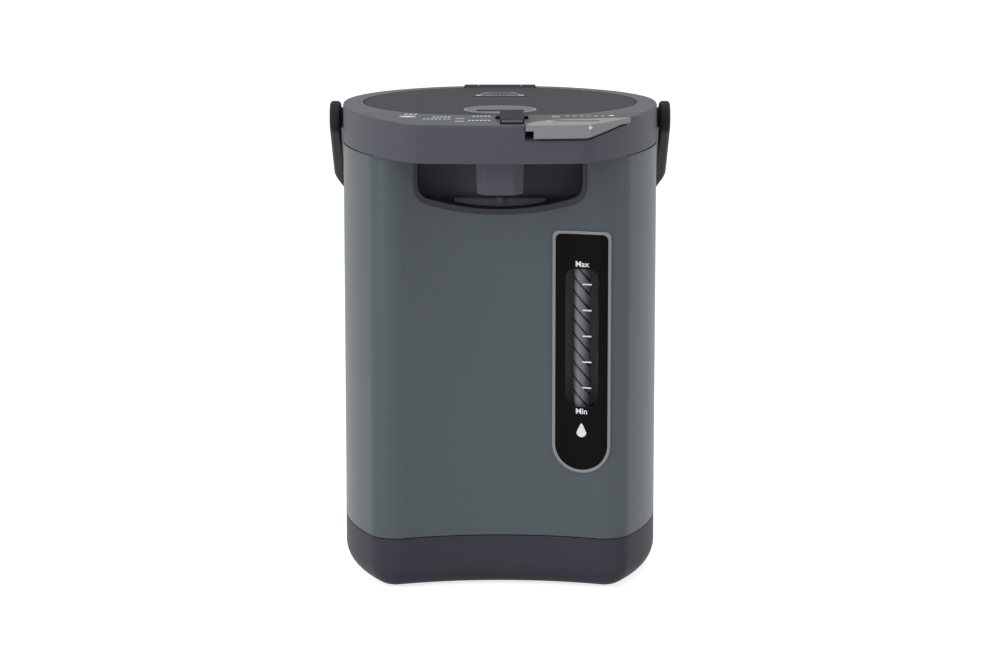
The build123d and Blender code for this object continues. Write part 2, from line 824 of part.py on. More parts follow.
with BuildPart() as spout_nozzle:
    with BuildSketch(Plane.XY.offset(nozzle_low)):
        with Locations((0, nozzle_y)):
            Circle(nozzle_radius)
    extrude(amount=hose_level + nozzle_radius - nozzle_low)
    with BuildSketch(Plane.XY.offset(shell_top + cover_thick)):
        with Locations((0, nozzle_y)):
            Circle(nozzle_radius + nozzle_collar)
    extrude(amount=nozzle_collar / 3)
    with BuildSketch(across(0, nozzle_y, hose_level)):
        Circle(stub_radius)
    extrude(amount=side_stub)
    with BuildSketch(Plane.XY.offset(nozzle_low)):
        with Locations((0, nozzle_y)):
            Circle(nozzle_bore)
    extrude(amount=hose_level - nozzle_low, mode=Mode.SUBTRACT)
    with BuildSketch(across(0, nozzle_y, hose_level)):
        Circle(stub_bore)
    extrude(amount=side_stub, mode=Mode.SUBTRACT)
finish(spout_nozzle, "spout_nozzle")

with BuildPart() as level_tube:
    with BuildSketch(Plane.XY.offset(tube_low)):
        with Locations((tube_x, tube_y)):
            Circle(tube_radius)
            Circle(tube_bore, mode=Mode.SUBTRACT)
    extrude(amount=tube_high - tube_low)
finish(level_tube, "level_tube")

with BuildPart() as tube_seals:
    for end_z, way in ((tube_low, -1), (tube_high, 1)):
        with BuildSketch(Plane.XY.offset(end_z - way * seal_overlap)):
            with Locations((tube_x, tube_y)):
                Circle(seal_radius)
        extrude(amount=way * seal_height)
        with BuildSketch(Plane.XY.offset(end_z - way * seal_overlap)):
            with Locations((tube_x, tube_y)):
                Circle(tube_radius + running_gap)
        extrude(amount=way * seal_overlap, mode=Mode.SUBTRACT)
        with BuildSketch(Plane.XY.offset(end_z)):
            with Locations((tube_x, tube_y)):
                Circle(stub_radius)
        extrude(amount=way * (seal_height - seal_overlap + stub_length))
        with BuildSketch(Plane.XY.offset(end_z)):
            with Locations((tube_x, tube_y)):
                Circle(stub_bore)
        extrude(amount=way * (seal_height - seal_overlap + stub_length), mode=Mode.SUBTRACT)
finish(tube_seals, "tube_seals")


def hose(points, radii):
    """A hose that follows straight runs joined by arcs."""
    start = Vector(*points[0])
    heading = Vector(*points[1]) - start
    with BuildPart(mode=Mode.PRIVATE) as tube:
        with BuildLine() as route:
            FilletPolyline(*points, radius=radii)
        with BuildSketch(Plane(origin=start, z_dir=heading)):
            Circle(stub_radius + hose_wall)
            Circle(stub_radius + running_gap, mode=Mode.SUBTRACT)
        sweep(path=route.wires()[0])
    return tube


stub_top = tube_high + seal_height - seal_overlap
hose_end_gap = 0.5
hose_lead = 12.0
hose_swing = 26.0
hose_bends = [6, 8, 6, 10]
spout_route = [
    (tube_x, tube_y, stub_top + hose_end_gap),
    (tube_x, tube_y, stub_top + hose_lead),
    (*hose_rise, stub_top + hose_swing),
    (*hose_rise, hose_level),
    (hose_rise[0] - hose_bends[2], nozzle_y, hose_level),
    (hose_start_x, nozzle_y, hose_level),
]
spout_hose = hose(spout_route, hose_bends)
finish(spout_hose, "spout_hose")

# ---------------------------------------------------------------- plate behind the level tube
backing_thick = 1.2
backing_gap = 0.4
backing_y = tube_y + tube_radius + backing_gap
backing_margin = 1.5
backing_wall = 1.2

with BuildPart() as level_backing:
    with BuildSketch(Plane.XY.offset(lens_low - backing_margin)):
        with Locations((tube_x, backing_y + backing_thick)):
            Rectangle(
                lens_right - lens_left + 2 * backing_margin,
                reach,
                align=(Align.CENTER, Align.MAX),
            )
        with Locations((tube_x, backing_y)):
            Rectangle(
                lens_right - lens_left + 2 * backing_margin - 2 * backing_wall,
                2 * reach,
                align=(Align.CENTER, Align.MAX),
                mode=Mode.SUBTRACT,
            )
        add(body_outline(-steel - lens_thick - fit_gap), mode=Mode.INTERSECT)
    extrude(amount=lens_high - lens_low + 2 * backing_margin)
finish(level_backing, "level_backing")

# ---------------------------------------------------------------- control panel, lenses, board
lens_spots = [(-26, -90), (-26, -106)]
lens_size = (6.0, 4.0)
board_thick = 1.6
board_drop = 5.0
board_spot = (-28, -98)
board_size = (48, 26)
board_post_pitch = (36, 16)
board_post_radius = 2.0
lamp_height = 2.0

with BuildPart() as control_panel:
    with BuildSketch(Plane.XY.offset(panel_seat)):
        add(nose_outline(-panel_margin - running_gap))
        add(behind_panel(seam_gap / 2), mode=Mode.SUBTRACT)
        add(lever_outline(seam_gap, lever_proud, lever_corner), mode=Mode.SUBTRACT)
        with Locations(lens_spots):
            Rectangle(*lens_size, mode=Mode.SUBTRACT)
        with Locations((slider_middle, nose_y)):
            Rectangle(
                slider_right - slider_left,
                slider_back_y - nose_y,
                align=(Align.CENTER, Align.MIN),
                mode=Mode.SUBTRACT,
            )
    extrude(amount=panel_thick)
finish(control_panel, "control_panel")

with BuildPart() as indicator_lenses:
    with BuildSketch(Plane.XY.offset(panel_seat)):
        with Locations(lens_spots):
            Rectangle(lens_size[0] - 2 * running_gap, lens_size[1] - 2 * running_gap)
    extrude(amount=panel_thick)
finish(indicator_lenses, "indicator_lenses")

with BuildPart() as slider_track:
    with BuildSketch(Plane.XY.offset(panel_seat)):
        with Locations((slider_middle, nose_y + panel_margin + 0.2)):
            Rectangle(
                slider_right - slider_left - 2 * running_gap,
                slider_back_y - nose_y - panel_margin - 0.2 - running_gap,
                align=(Align.CENTER, Align.MIN),
            )
        with Locations((slider_middle, stem_back_y + fit_gap)):
            Rectangle(
                2 * (stem_half_width + fit_gap),
                stem_back_y - stem_front_y + slider_travel + 2 * fit_gap,
                align=(Align.CENTER, Align.MAX),
                mode=Mode.SUBTRACT,
            )
        add(nose_outline(-panel_margin - running_gap), mode=Mode.INTERSECT)
    extrude(amount=track_thick)
finish(slider_track, "slider_track")

slider_low = deck_top + 0.2
slider_round = 0.8
slider_ear_reach = 2.9
slider_ear_length = 14.0
slider_ear_y = -88.0
slider_ear_height = 1.8
foot_half_width = 6.5
foot_thick = 1.2
foot_top = deck_low - fit_gap

with BuildPart() as lock_slider:
    with BuildSketch(Plane.YZ.offset(slider_left)):
        with BuildLine():
            Polyline(
                (slider_front_y, slider_low),
                (slider_front_y + slider_round, slider_brow),
                (slider_back_y, slider_top),
                (slider_back_y, slider_low),
                close=True,
            )
        make_face()
    extrude(amount=slider_right - slider_left)
    fillet(lock_slider.edges().group_by(Axis.Z)[-1], slider_round)
    with BuildSketch(Plane.XY.offset(slider_low)):
        with Locations((slider_middle, slider_ear_y)):
            RectangleRounded(
                slider_right - slider_left + 2 * slider_ear_reach,
                slider_ear_length,
                slider_round,
            )
    extrude(amount=slider_ear_height)
    with BuildSketch(Plane.XY.offset(foot_top - foot_thick)):
        with Locations((slider_middle, stem_front_y)):
            Rectangle(2 * stem_half_width, stem_back_y - stem_front_y, align=(Align.CENTER, Align.MIN))
    extrude(amount=slider_low - foot_top + foot_thick)
    with BuildSketch(Plane.XY.offset(foot_top - foot_thick)):
        with Locations((slider_middle, stem_front_y)):
            Rectangle(2 * foot_half_width, stem_back_y - stem_front_y, align=(Align.CENTER, Align.MIN))
    extrude(amount=foot_thick)
finish(lock_slider, "lock_slider")

with BuildPart() as control_board:
    with BuildSketch(Plane.XY.offset(deck_low - board_drop)):
        with Locations(board_spot):
            Rectangle(*board_size)
    extrude(amount=board_thick)
    with BuildSketch(Plane.XY.offset(deck_low - board_drop + board_thick)):
        with Locations(board_spot):
            with GridLocations(*board_post_pitch, 2, 2):
                Circle(board_post_radius)
    extrude(amount=board_drop - board_thick)
    with BuildSketch(Plane.XY.offset(deck_low - board_drop + board_thick)):
        with Locations(lens_spots):
            Rectangle(lens_size[0] - board_post_radius, lens_size[1] - board_post_radius / 2)
    extrude(amount=lamp_height)
finish(control_board, "control_board")

# ---------------------------------------------------------------- tank
tank_wall = 0.8
tank_round = 8.0
pump_x = 43.0
pump_y = -22.0
neck_pipe = 6.0
tank_axis = Axis((0, tank_y, 0), (0, 0, 1))
tank_plane = Plane(origin=(0, tank_y, 0), x_dir=(1, 0, 0), z_dir=(0, -1, 0))

with BuildPart() as inner_tank:
    with BuildSketch(tank_plane):
        with BuildLine():
            Polyline(
                (0, tank_floor_z),
                (tank_radius, tank_floor_z),
                (tank_radius, shoulder_z),
                (neck_radius, neck_z),
                (neck_radius, well_floor_top),
                (neck_radius + flange, well_floor_top),
                (neck_radius + flange, well_floor_top + tank_wall),
                (neck_radius - tank_wall, well_floor_top + tank_wall),
                (neck_radius - tank_wall, neck_z + tank_wall / 2),
                (tank_radius - tank_wall, shoulder_z + tank_wall / 2),
                (tank_radius - tank_wall, tank_floor_z + tank_wall),
                (0, tank_floor_z + tank_wall),
                close=True,
            )
        make_face()
    revolve(axis=tank_axis)
    floor_rim = inner_tank.edges().group_by(Axis.Z)[0].filter_by(GeomType.CIRCLE)
    fillet(floor_rim, tank_round)
    floor_top = tank_floor_z + tank_wall
    inner_rim = inner_tank.edges().filter_by_position(Axis.Z, floor_top - 0.01, floor_top + 0.01)
    fillet(inner_rim.filter_by(GeomType.CIRCLE), tank_round - tank_wall)
    with BuildSketch(Plane.XY.offset(tank_floor_z)):
        with Locations((pump_x, pump_y)):
            Circle(neck_pipe + running_gap)
    extrude(amount=2 * tank_wall, mode=Mode.SUBTRACT)
finish(inner_tank, "inner_tank")

seal_thick = 0.9
flange_top = well_floor_top + tank_wall

with BuildPart() as tank_seal:
    with BuildSketch(Plane.XY.offset(flange_top)):
        with Locations((0, tank_y)):
            Circle(neck_radius + flange)
            Circle(neck_radius - tank_wall, mode=Mode.SUBTRACT)
    extrude(amount=seal_thick)
finish(tank_seal, "tank_seal")

wrap_thick = 4.0

with BuildPart() as insulation_wrap:
    with BuildSketch(Plane.XY.offset(tank_floor_z + tank_round)):
        with Locations((0, tank_y)):
            Circle(tank_radius + wrap_thick)
            Circle(tank_radius + fit_gap, mode=Mode.SUBTRACT)
    extrude(amount=shoulder_z - tank_floor_z - 2 * tank_round)
finish(insulation_wrap, "insulation_wrap")

with BuildPart() as tie_rods:
    with BuildSketch(Plane.XY.offset(skirt_floor_top)):
        with Locations(rod_spots):
            Circle(rod_radius)
    extrude(amount=well_floor_low - skirt_floor_top)
finish(tie_rods, "tie_rods")

# ---------------------------------------------------------------- heater under the tank
heater_radius = 50.0
heater_thick = 4.0
element_ring = 36.0
element_radius = 3.4
element_gap = 0.2
element_sweep = 300.0
element_z = tank_floor_z - heater_thick - element_gap - element_radius
terminal_radius = 1.5
terminal_length = 14.0
cutout_radius = 8.0
cutout_height = 7.0
cutout_tab = (0.8, 4.0, 6.0)
cutout_spots = [(-58, 30), (-52, 56)]
element_axis = Axis((0, tank_y, 0), (0, 0, 1))

with BuildPart() as heater_plate:
    with BuildSketch(Plane.XY.offset(tank_floor_z - heater_thick)):
        with Locations((0, tank_y)):
            Circle(heater_radius)
    extrude(amount=heater_thick)
    chamfer(heater_plate.edges().group_by(Axis.Z)[0], 1)
finish(heater_plate, "heater_plate")

with BuildPart() as heater_element:
    with BuildSketch(tank_plane):
        with Locations((element_ring, element_z)):
            Circle(element_radius)
    revolve(axis=element_axis, revolution_arc=element_sweep)
    for turn in (0, element_sweep):
        end_x = element_ring * cos(radians(turn))
        end_y = tank_y + element_ring * sin(radians(turn))
        with BuildSketch(Plane.XY.offset(element_z)):
            with Locations((end_x, end_y)):
                Circle(terminal_radius)
        extrude(amount=-terminal_length)
finish(heater_element, "heater_element")

with BuildPart() as thermal_cutouts:
    with BuildSketch(Plane.XY.offset(tank_floor_z)):
        with Locations(cutout_spots):
            Circle(cutout_radius)
    extrude(amount=-cutout_height)
    with BuildSketch(Plane.XY.offset(tank_floor_z - cutout_height)):
        with Locations(cutout_spots):
            with GridLocations(cutout_radius, 0, 2, 1):
                Rectangle(cutout_tab[0], cutout_tab[1])
    extrude(amount=-cutout_tab[2])
finish(thermal_cutouts, "thermal_cutouts")

# ---------------------------------------------------------------- pump
housing_radius = 17.0
housing_wall = 2.4
housing_low = tank_floor_z - 28.0
chamber_floor = housing_low + 5.5
chamber_roof = chamber_floor + 10.0
housing_top = chamber_roof + 2.5
chamber_wall = 1.5
spindle_radius = 1.5
outlet_offset = tube_x - pump_x
outlet_level = (chamber_floor + chamber_roof) / 2
outlet_reach = 26.0
magnet_radius = 12.5
outlet_plane = Plane(origin=(tube_x, pump_y, outlet_level), x_dir=(1, 0, 0), z_dir=(0, -1, 0))

with BuildPart() as pump_housing:
    with BuildSketch(Plane.XY.offset(housing_low)):
        with Locations((pump_x, pump_y)):
            Circle(housing_radius)
    extrude(amount=housing_top - housing_low)
    with BuildSketch(Plane.XY.offset(housing_top)):
        with Locations((pump_x, pump_y)):
            Circle(neck_pipe)
    extrude(amount=tank_floor_z - housing_top + 4)
    with BuildSketch(outlet_plane):
        Circle(stub_radius)
    extrude(amount=outlet_reach)
    # impeller chamber, magnet recess and the two ways through
    with BuildSketch(Plane.XY.offset(chamber_floor)):
        with Locations((pump_x, pump_y)):
            Circle(housing_radius - housing_wall)
    extrude(amount=chamber_roof - chamber_floor, mode=Mode.SUBTRACT)
    with BuildSketch(Plane.XY.offset(housing_low)):
        with Locations((pump_x, pump_y)):
            Circle(housing_radius - housing_wall)
    extrude(amount=chamber_floor - chamber_wall - housing_low, mode=Mode.SUBTRACT)
    with BuildSketch(Plane.XY.offset(chamber_roof)):
        with Locations((pump_x, pump_y)):
            Circle(neck_pipe - chamber_wall)
    extrude(amount=tank_floor_z, mode=Mode.SUBTRACT)
    with BuildSketch(outlet_plane):
        Circle(stub_bore)
    extrude(amount=outlet_reach, mode=Mode.SUBTRACT)
    with BuildSketch(Plane.XY.offset(chamber_floor)):
        with Locations((pump_x, pump_y)):
            Circle(spindle_radius)
    extrude(amount=chamber_roof - chamber_floor - chamber_wall)
finish(pump_housing, "pump_housing")

impeller_low = chamber_floor + 0.6
impeller_disc = 3.0
blade_height = 3.6
blade_count = 6
hub_radius = 3.5
blade_thick = 1.4
blade_length = 9.5

with BuildPart() as pump_impeller:
    with BuildSketch(Plane.XY.offset(impeller_low)):
        with Locations((pump_x, pump_y)):
            Circle(magnet_radius)
    extrude(amount=impeller_disc)
    with BuildSketch(Plane.XY.offset(impeller_low + impeller_disc)):
        with Locations((pump_x, pump_y)):
            Circle(hub_radius)
            with PolarLocations(magnet_radius - blade_length / 2 - fit_gap, blade_count):
                Rectangle(blade_length, blade_thick)
    extrude(amount=blade_height)
    with BuildSketch(Plane.XY.offset(impeller_low)):
        with Locations((pump_x, pump_y)):
            Circle(spindle_radius + running_gap)
    extrude(amount=impeller_disc + blade_height, mode=Mode.SUBTRACT)
finish(pump_impeller, "pump_impeller")

motor_height = 20.0
motor_low = housing_low - motor_height
motor_radius = 15.0
motor_wall = 1.0
motor_flange = 2.0
bearing_height = 3.0
bearing_radius = 3.0
rotor_core = 9.0
rotor_slot = (4.0, 2.4)
shaft_radius = 1.5
rotor_disc_low = housing_low + seam_gap
rotor_disc_high = chamber_floor - chamber_wall - seam_gap

with BuildPart() as motor_can:
    with BuildSketch(Plane.XY.offset(motor_low)):
        with Locations((pump_x, pump_y)):
            Circle(motor_radius)
    extrude(amount=housing_low - motor_low)
    with BuildSketch(Plane.XY.offset(housing_low - motor_flange)):
        with Locations((pump_x, pump_y)):
            Circle(housing_radius)
    extrude(amount=motor_flange)
    with BuildSketch(Plane.XY.offset(motor_low + motor_wall)):
        with Locations((pump_x, pump_y)):
            Circle(motor_radius - motor_wall)
    extrude(amount=housing_low - motor_low - 2 * motor_wall, mode=Mode.SUBTRACT)
    with BuildSketch(Plane.XY.offset(motor_low + motor_wall)):
        with Locations((pump_x, pump_y)):
            Circle(bearing_radius)
    extrude(amount=bearing_height)
    with BuildSketch(Plane.XY.offset(motor_low + motor_wall)):
        with Locations((pump_x, pump_y)):
            Circle(shaft_radius + running_gap)
    extrude(amount=housing_low, mode=Mode.SUBTRACT)
finish(motor_can, "motor_can")

with BuildPart() as motor_rotor:
    with BuildSketch(Plane.XY.offset(motor_low + motor_wall + fit_gap)):
        with Locations((pump_x, pump_y)):
            Circle(shaft_radius)
    extrude(amount=rotor_disc_low - motor_low - motor_wall - fit_gap)
    with BuildSketch(Plane.XY.offset(rotor_disc_low)):
        with Locations((pump_x, pump_y)):
            Circle(magnet_radius)
    extrude(amount=rotor_disc_high - rotor_disc_low)
    with BuildSketch(Plane.XY.offset(motor_low + motor_wall + bearing_height + seam_gap)):
        with Locations((pump_x, pump_y)):
            Circle(rotor_core)
            with PolarLocations(rotor_core, 3):
                Rectangle(*rotor_slot, mode=Mode.SUBTRACT)
    extrude(amount=rotor_core)
finish(motor_rotor, "motor_rotor")

filter_radius = 8.0
filter_height = 5.0
filter_roof = 1.2
filter_hole = 0.9
filter_hole_ring = 3.0
grommet_thick = 3.0

with BuildPart() as inlet_filter:
    with BuildSketch(Plane.XY.offset(tank_floor_z + tank_wall)):
        with Locations((pump_x, pump_y)):
            Circle(filter_radius)
    extrude(amount=filter_height)
    fillet(inlet_filter.edges().group_by(Axis.Z)[-1], 1)
    with BuildSketch(Plane.XY.offset(tank_floor_z + tank_wall)):
        with Locations((pump_x, pump_y)):
            Circle(neck_pipe + running_gap)
    extrude(amount=filter_height - filter_roof, mode=Mode.SUBTRACT)
    with BuildSketch(Plane.XY.offset(tank_floor_z + tank_wall)):
        with Locations((pump_x, pump_y)):
            with PolarLocations(filter_hole_ring, 6):
                Circle(filter_hole)
    extrude(amount=2 * filter_height, mode=Mode.SUBTRACT)
finish(inlet_filter, "inlet_filter")

with BuildPart() as inlet_grommet:
    with BuildSketch(Plane.XY.offset(tank_floor_z)):
        with Locations((pump_x, pump_y)):
            Circle(filter_radius)
            Circle(neck_pipe + running_gap, mode=Mode.SUBTRACT)
    extrude(amount=-grommet_thick)
finish(inlet_grommet, "inlet_grommet")

lower_stub = tube_low - seal_height + seal_overlap
outlet_route = [
    (tube_x, pump_y - housing_radius - 1, outlet_level),
    (tube_x, tube_y, outlet_level),
    (tube_x, tube_y, lower_stub - hose_end_gap),
]
outlet_hose = hose(outlet_route, hose_bends[3])
finish(outlet_hose, "outlet_hose")

# ---------------------------------------------------------------- power board
board_standoff = 6.0
board_z = foot_height + plastic + board_standoff
power_board_spot = (-14, 50)
power_board_size = (60, 36)
standoff_pitch = (50, 26)
standoff_radius = 2.5
coil_spot = (-32, 54)
coil_size = (18, 16)
capacitor_spot = (-10, 56)
capacitor_radius = 5.0
relay_spot = (4, 46)
relay_size = (10, 14)
component_height = 12.0

with BuildPart() as power_board:
    with BuildSketch(Plane.XY.offset(board_z)):
        with Locations(power_board_spot):
            Rectangle(*power_board_size)
    extrude(amount=board_thick)
    with BuildSketch(Plane.XY.offset(foot_height + plastic)):
        with Locations(power_board_spot):
            with GridLocations(*standoff_pitch, 2, 2):
                Circle(standoff_radius)
    extrude(amount=board_standoff)
    with BuildSketch(Plane.XY.offset(board_z + board_thick)):
        with Locations(coil_spot):
            Rectangle(*coil_size)
        with Locations(capacitor_spot):
            Circle(capacitor_radius)
        with Locations(relay_spot):
            Rectangle(*relay_size)
    extrude(amount=component_height)
finish(power_board, "power_board")

# ---------------------------------------------------------------- lid
lid_skirt_low = lid_bottom + lid_wall
lid_roof = 2.5
lid_round = 0.8
cup_y = panel_back_y + 31.5
cup_radius = 24.3
slot_half_width = 15.5
slot_back_y = panel_back_y + 30.0
slot_front_y = panel_back_y + 20.5
vent_front_y = 46.0
vent_back_y = 73.0
vent_front_half = 18.3
vent_back_half = 8.5
vent_recess = 1.4
vent_x = 0.0
vent_y = 57.0
vent_slot = (7.0, 1.2)
vent_slot_pitch = 2.6
chimney_radius = 7.0
chimney_bore = 5.5
latch_y = panel_back_y + 16.0
latch_z = deck_top - 5.4
latch_pin_radius = 1.2
latch_barrel = 2.2
latch_half_width = 8.0
latch_ear = 2.6
latch_window = 8.6
lid_ear_cut_y = hinge_y - 5.0
knuckle_reach = 4.0


def vent_outline(grow):
    """Plan of the steam vent: a trapezium, wide in front."""
    with BuildSketch(mode=Mode.PRIVATE) as plan:
        with BuildLine():
            Polyline(
                (vent_front_half + grow, vent_front_y - grow),
                (vent_back_half + grow, vent_back_y + grow),
                (-vent_back_half - grow, vent_back_y + grow),
                (-vent_front_half - grow, vent_front_y - grow),
                close=True,
            )
        make_face()
    return plan.sketch


with BuildPart() as lid_top:
    with BuildSketch(Plane.XY.offset(lid_skirt_low)):
        add(lid_plan)
    extrude(amount=deck_top - lid_skirt_low)
    fillet(lid_top.faces().sort_by(Axis.Z)[-1].edges(), lid_round)
    with BuildSketch(Plane.XY.offset(lid_skirt_low)):
        add(lid_outline(-lid_wall))
    extrude(amount=deck_top - lid_roof - lid_skirt_low, mode=Mode.SUBTRACT)
    # seat for the finger cup and the way down to the latch
    with BuildSketch(Plane.XY.offset(deck_top - lid_roof)):
        with Locations((0, cup_y)):
            Circle(cup_radius + running_gap)
    extrude(amount=lid_roof, mode=Mode.SUBTRACT)
    # steam vent
    with BuildSketch(Plane.XY.offset(deck_top - vent_recess)):
        add(vent_outline(0))
    extrude(amount=vent_recess, mode=Mode.SUBTRACT)
    with BuildSketch(Plane.XY.offset(deck_top - lid_roof)):
        with Locations((vent_x, vent_y)):
            Circle(chimney_radius + running_gap)
    extrude(amount=lid_roof, mode=Mode.SUBTRACT)
    # window for the latch's hook, open down to the liner
    with BuildSketch(Plane.XY.offset(lid_skirt_low)):
        with Locations((0, panel_back_y)):
            Rectangle(2 * latch_window, 4 * lid_wall)
    extrude(amount=catch_high - lid_skirt_low, mode=Mode.SUBTRACT)
    # room for the hinge's fixed ears, then the knuckle between them
    with BuildSketch(Plane.XY.offset(lid_skirt_low)):
        for side in (-1, 1):
            with Locations((side * (knuckle_half_width + hinge_half_width + fit_gap) / 2, lid_ear_cut_y)):
                Rectangle(
                    hinge_half_width - knuckle_half_width + 3 * fit_gap,
                    3 * hinge_barrel,
                    align=(Align.CENTER, Align.MIN),
                )
    extrude(amount=deck_top, mode=Mode.SUBTRACT)
    with BuildSketch(across(0, hinge_y, hinge_z)):
        Circle(hinge_barrel)
        with Locations((0, deck_top - hinge_z)):
            Rectangle(
                hinge_barrel + knuckle_reach,
                deck_top - hinge_z + hinge_barrel - 1,
                align=(Align.MAX, Align.MAX),
            )
    extrude(amount=knuckle_half_width, both=True)
    with BuildSketch(across(0, hinge_y, hinge_z)):
        Circle(hinge_pin_radius + running_gap)
    extrude(amount=knuckle_half_width, both=True, mode=Mode.SUBTRACT)
finish(lid_top, "lid_top")

with BuildPart() as lid_liner:
    with BuildSketch(Plane.XY.offset(lid_bottom)):
        add(lid_plan)
        with Locations((vent_x, vent_y)):
            Circle(chimney_bore, mode=Mode.SUBTRACT)
        for side in (-1, 1):
            with Locations((side * (knuckle_half_width + hinge_half_width + fit_gap) / 2, lid_ear_cut_y)):
                Rectangle(
                    hinge_half_width - knuckle_half_width + 3 * fit_gap,
                    3 * hinge_barrel,
                    align=(Align.CENTER, Align.MIN),
                    mode=Mode.SUBTRACT,
                )
    extrude(amount=lid_wall)
    for side in (-1, 1):
        ear_x = side * (latch_half_width + running_gap + latch_ear / 2)
        with BuildSketch(across(ear_x, latch_y, latch_z)):
            Circle(latch_barrel - fit_gap)
            Rectangle(
                2 * (latch_barrel - fit_gap),
                latch_z - lid_skirt_low,
                align=(Align.CENTER, Align.MAX),
            )
        extrude(amount=latch_ear / 2, both=True)
    with BuildSketch(across(0, latch_y, latch_z)):
        Circle(latch_pin_radius + running_gap)
    extrude(amount=latch_half_width + 2 * latch_ear, both=True, mode=Mode.SUBTRACT)
finish(lid_liner, "lid_liner")

cup_proud = 0.3
cup_thick = 1.6
cup_wall = 1.0

with BuildPart() as finger_cup:
    with BuildSketch(Plane.XY.offset(deck_top + cup_proud - cup_thick)):
        with Locations((0, cup_y)):
            Circle(cup_radius)
    extrude(amount=cup_thick)
    fillet(finger_cup.faces().sort_by(Axis.Z)[-1].edges(), 0.4)
    with BuildSketch(Plane.XY.offset(deck_top - lid_roof)):
        with Locations((0, (slot_back_y + slot_front_y) / 2)):
            Rectangle(2 * (slot_half_width + cup_wall), slot_back_y - slot_front_y + 2 * cup_wall)
    extrude(amount=lid_roof - cup_wall)
    with BuildSketch(Plane.XY.offset(deck_top - 2 * lid_roof)):
        with Locations((0, (slot_back_y + slot_front_y) / 2)):
            Rectangle(2 * slot_half_width, slot_back_y - slot_front_y)
    extrude(amount=4 * lid_roof, mode=Mode.SUBTRACT)
finish(finger_cup, "finger_cup")

paddle_thick = 1.4
paddle_low = latch_z - paddle_thick / 2
hook_reach = panel_back_y + 0.1
spring_low = lid_skirt_low
latch_spring_y = latch_y - 8.0

with BuildPart() as lid_latch:
    with BuildSketch(Plane.XY.offset(paddle_low)):
        with Locations((0, slot_back_y + 0.5)):
            Rectangle(
                2 * (slot_half_width - fit_gap),
                slot_back_y - slot_front_y - fit_gap,
                align=(Align.CENTER, Align.MAX),
            )
        with Locations((0, slot_back_y - 2)):
            Rectangle(2 * latch_half_width, slot_back_y - 2 - hook_reach, align=(Align.CENTER, Align.MAX))
    extrude(amount=paddle_thick)
    with BuildSketch(across(0, latch_y, latch_z)):
        Circle(latch_barrel)
    extrude(amount=latch_half_width, both=True)
    with BuildSketch(across(0, latch_y, latch_z)):
        Circle(latch_pin_radius + running_gap)
    extrude(amount=latch_half_width, both=True, mode=Mode.SUBTRACT)
finish(lid_latch, "lid_latch")

with BuildPart() as latch_pin:
    with BuildSketch(across(0, latch_y, latch_z)):
        Circle(latch_pin_radius)
    extrude(amount=latch_half_width + latch_ear, both=True)
finish(latch_pin, "latch_pin")


def coil(x, y, low, high, radius, wire, turns):
    """A compression spring that stands between two levels."""
    height = high - low - wire
    with BuildPart(mode=Mode.PRIVATE) as spring:
        with BuildLine() as route:
            turn = Helix(height / turns, height, radius, center=(x, y, low + wire / 2))
        with BuildSketch(Plane(origin=turn @ 0, z_dir=turn % 0)):
            Circle(wire / 2)
        sweep(path=route.wires()[0], is_frenet=True)
    return spring


spring_rest = 0.1
latch_coil = (2.4, 0.4, 2.5)
latch_spring = coil(0, latch_spring_y, spring_low + spring_rest, paddle_low - spring_rest, *latch_coil)
finish(latch_spring, "latch_spring")

lever_spring_spot = (51, -112)
lever_coil = (2.8, 0.6, 3)
lever_low = lever_top - lever_plate
lever_spring = coil(*lever_spring_spot, pocket_floor + spring_rest, lever_low - spring_rest, *lever_coil)
finish(lever_spring, "lever_spring")

# ---------------------------------------------------------------- steam vent and its valve
vent_proud = 0.3

with BuildPart() as vent_cap:
    with BuildSketch(Plane.XY.offset(deck_top - vent_recess)):
        add(vent_outline(-running_gap))
    extrude(amount=vent_recess + vent_proud)
    with BuildSketch(Plane.XY.offset(lid_skirt_low)):
        with Locations((vent_x, vent_y)):
            Circle(chimney_radius)
    extrude(amount=deck_top - vent_recess - lid_skirt_low)
    with BuildSketch(Plane.XY.offset(lid_skirt_low)):
        with Locations((vent_x, vent_y)):
            Circle(chimney_bore)
    extrude(amount=deck_top - vent_recess - lid_skirt_low, mode=Mode.SUBTRACT)
    with BuildSketch(Plane.XY.offset(deck_top - vent_recess)):
        with Locations((vent_x, vent_y)):
            with GridLocations(vent_slot_pitch, 0, 4, 1):
                SlotOverall(*vent_slot, rotation=90)
    extrude(amount=vent_recess + vent_proud, mode=Mode.SUBTRACT)
finish(vent_cap, "vent_cap")

cover_low = deck_top - 23.0
cover_radius = neck_radius - 2.5
cover_low_radius = cover_radius - 6.5
cover_bend = deck_top - 12.0
cover_metal = 0.8
guide_radius = 6.0
guide_bore = 5.2
guide_height = 9.0
steam_hole = 3.0

with BuildPart() as inner_cover:
    with BuildSketch(tank_plane):
        with BuildLine():
            Polyline(
                (0, cover_low),
                (cover_low_radius, cover_low),
                (cover_radius, cover_bend),
                (cover_radius, lid_bottom),
                (cover_radius - cover_metal, lid_bottom),
                (cover_radius - cover_metal, cover_bend),
                (cover_low_radius - cover_metal / 2, cover_low + cover_metal),
                (0, cover_low + cover_metal),
                close=True,
            )
        make_face()
    revolve(axis=tank_axis)
    with BuildSketch(Plane.XY.offset(cover_low + cover_metal)):
        with Locations((vent_x, vent_y)):
            Circle(guide_radius)
            Circle(guide_bore, mode=Mode.SUBTRACT)
    extrude(amount=guide_height)
    with BuildSketch(Plane.XY.offset(cover_low)):
        with Locations((vent_x, vent_y)):
            Circle(steam_hole)
    extrude(amount=cover_metal, mode=Mode.SUBTRACT)
finish(inner_cover, "inner_cover")

valve_low = cover_low + cover_metal + 0.1
valve_disc = 1.8
valve_radius = 4.6
valve_stem = 1.4
valve_length = 6.0

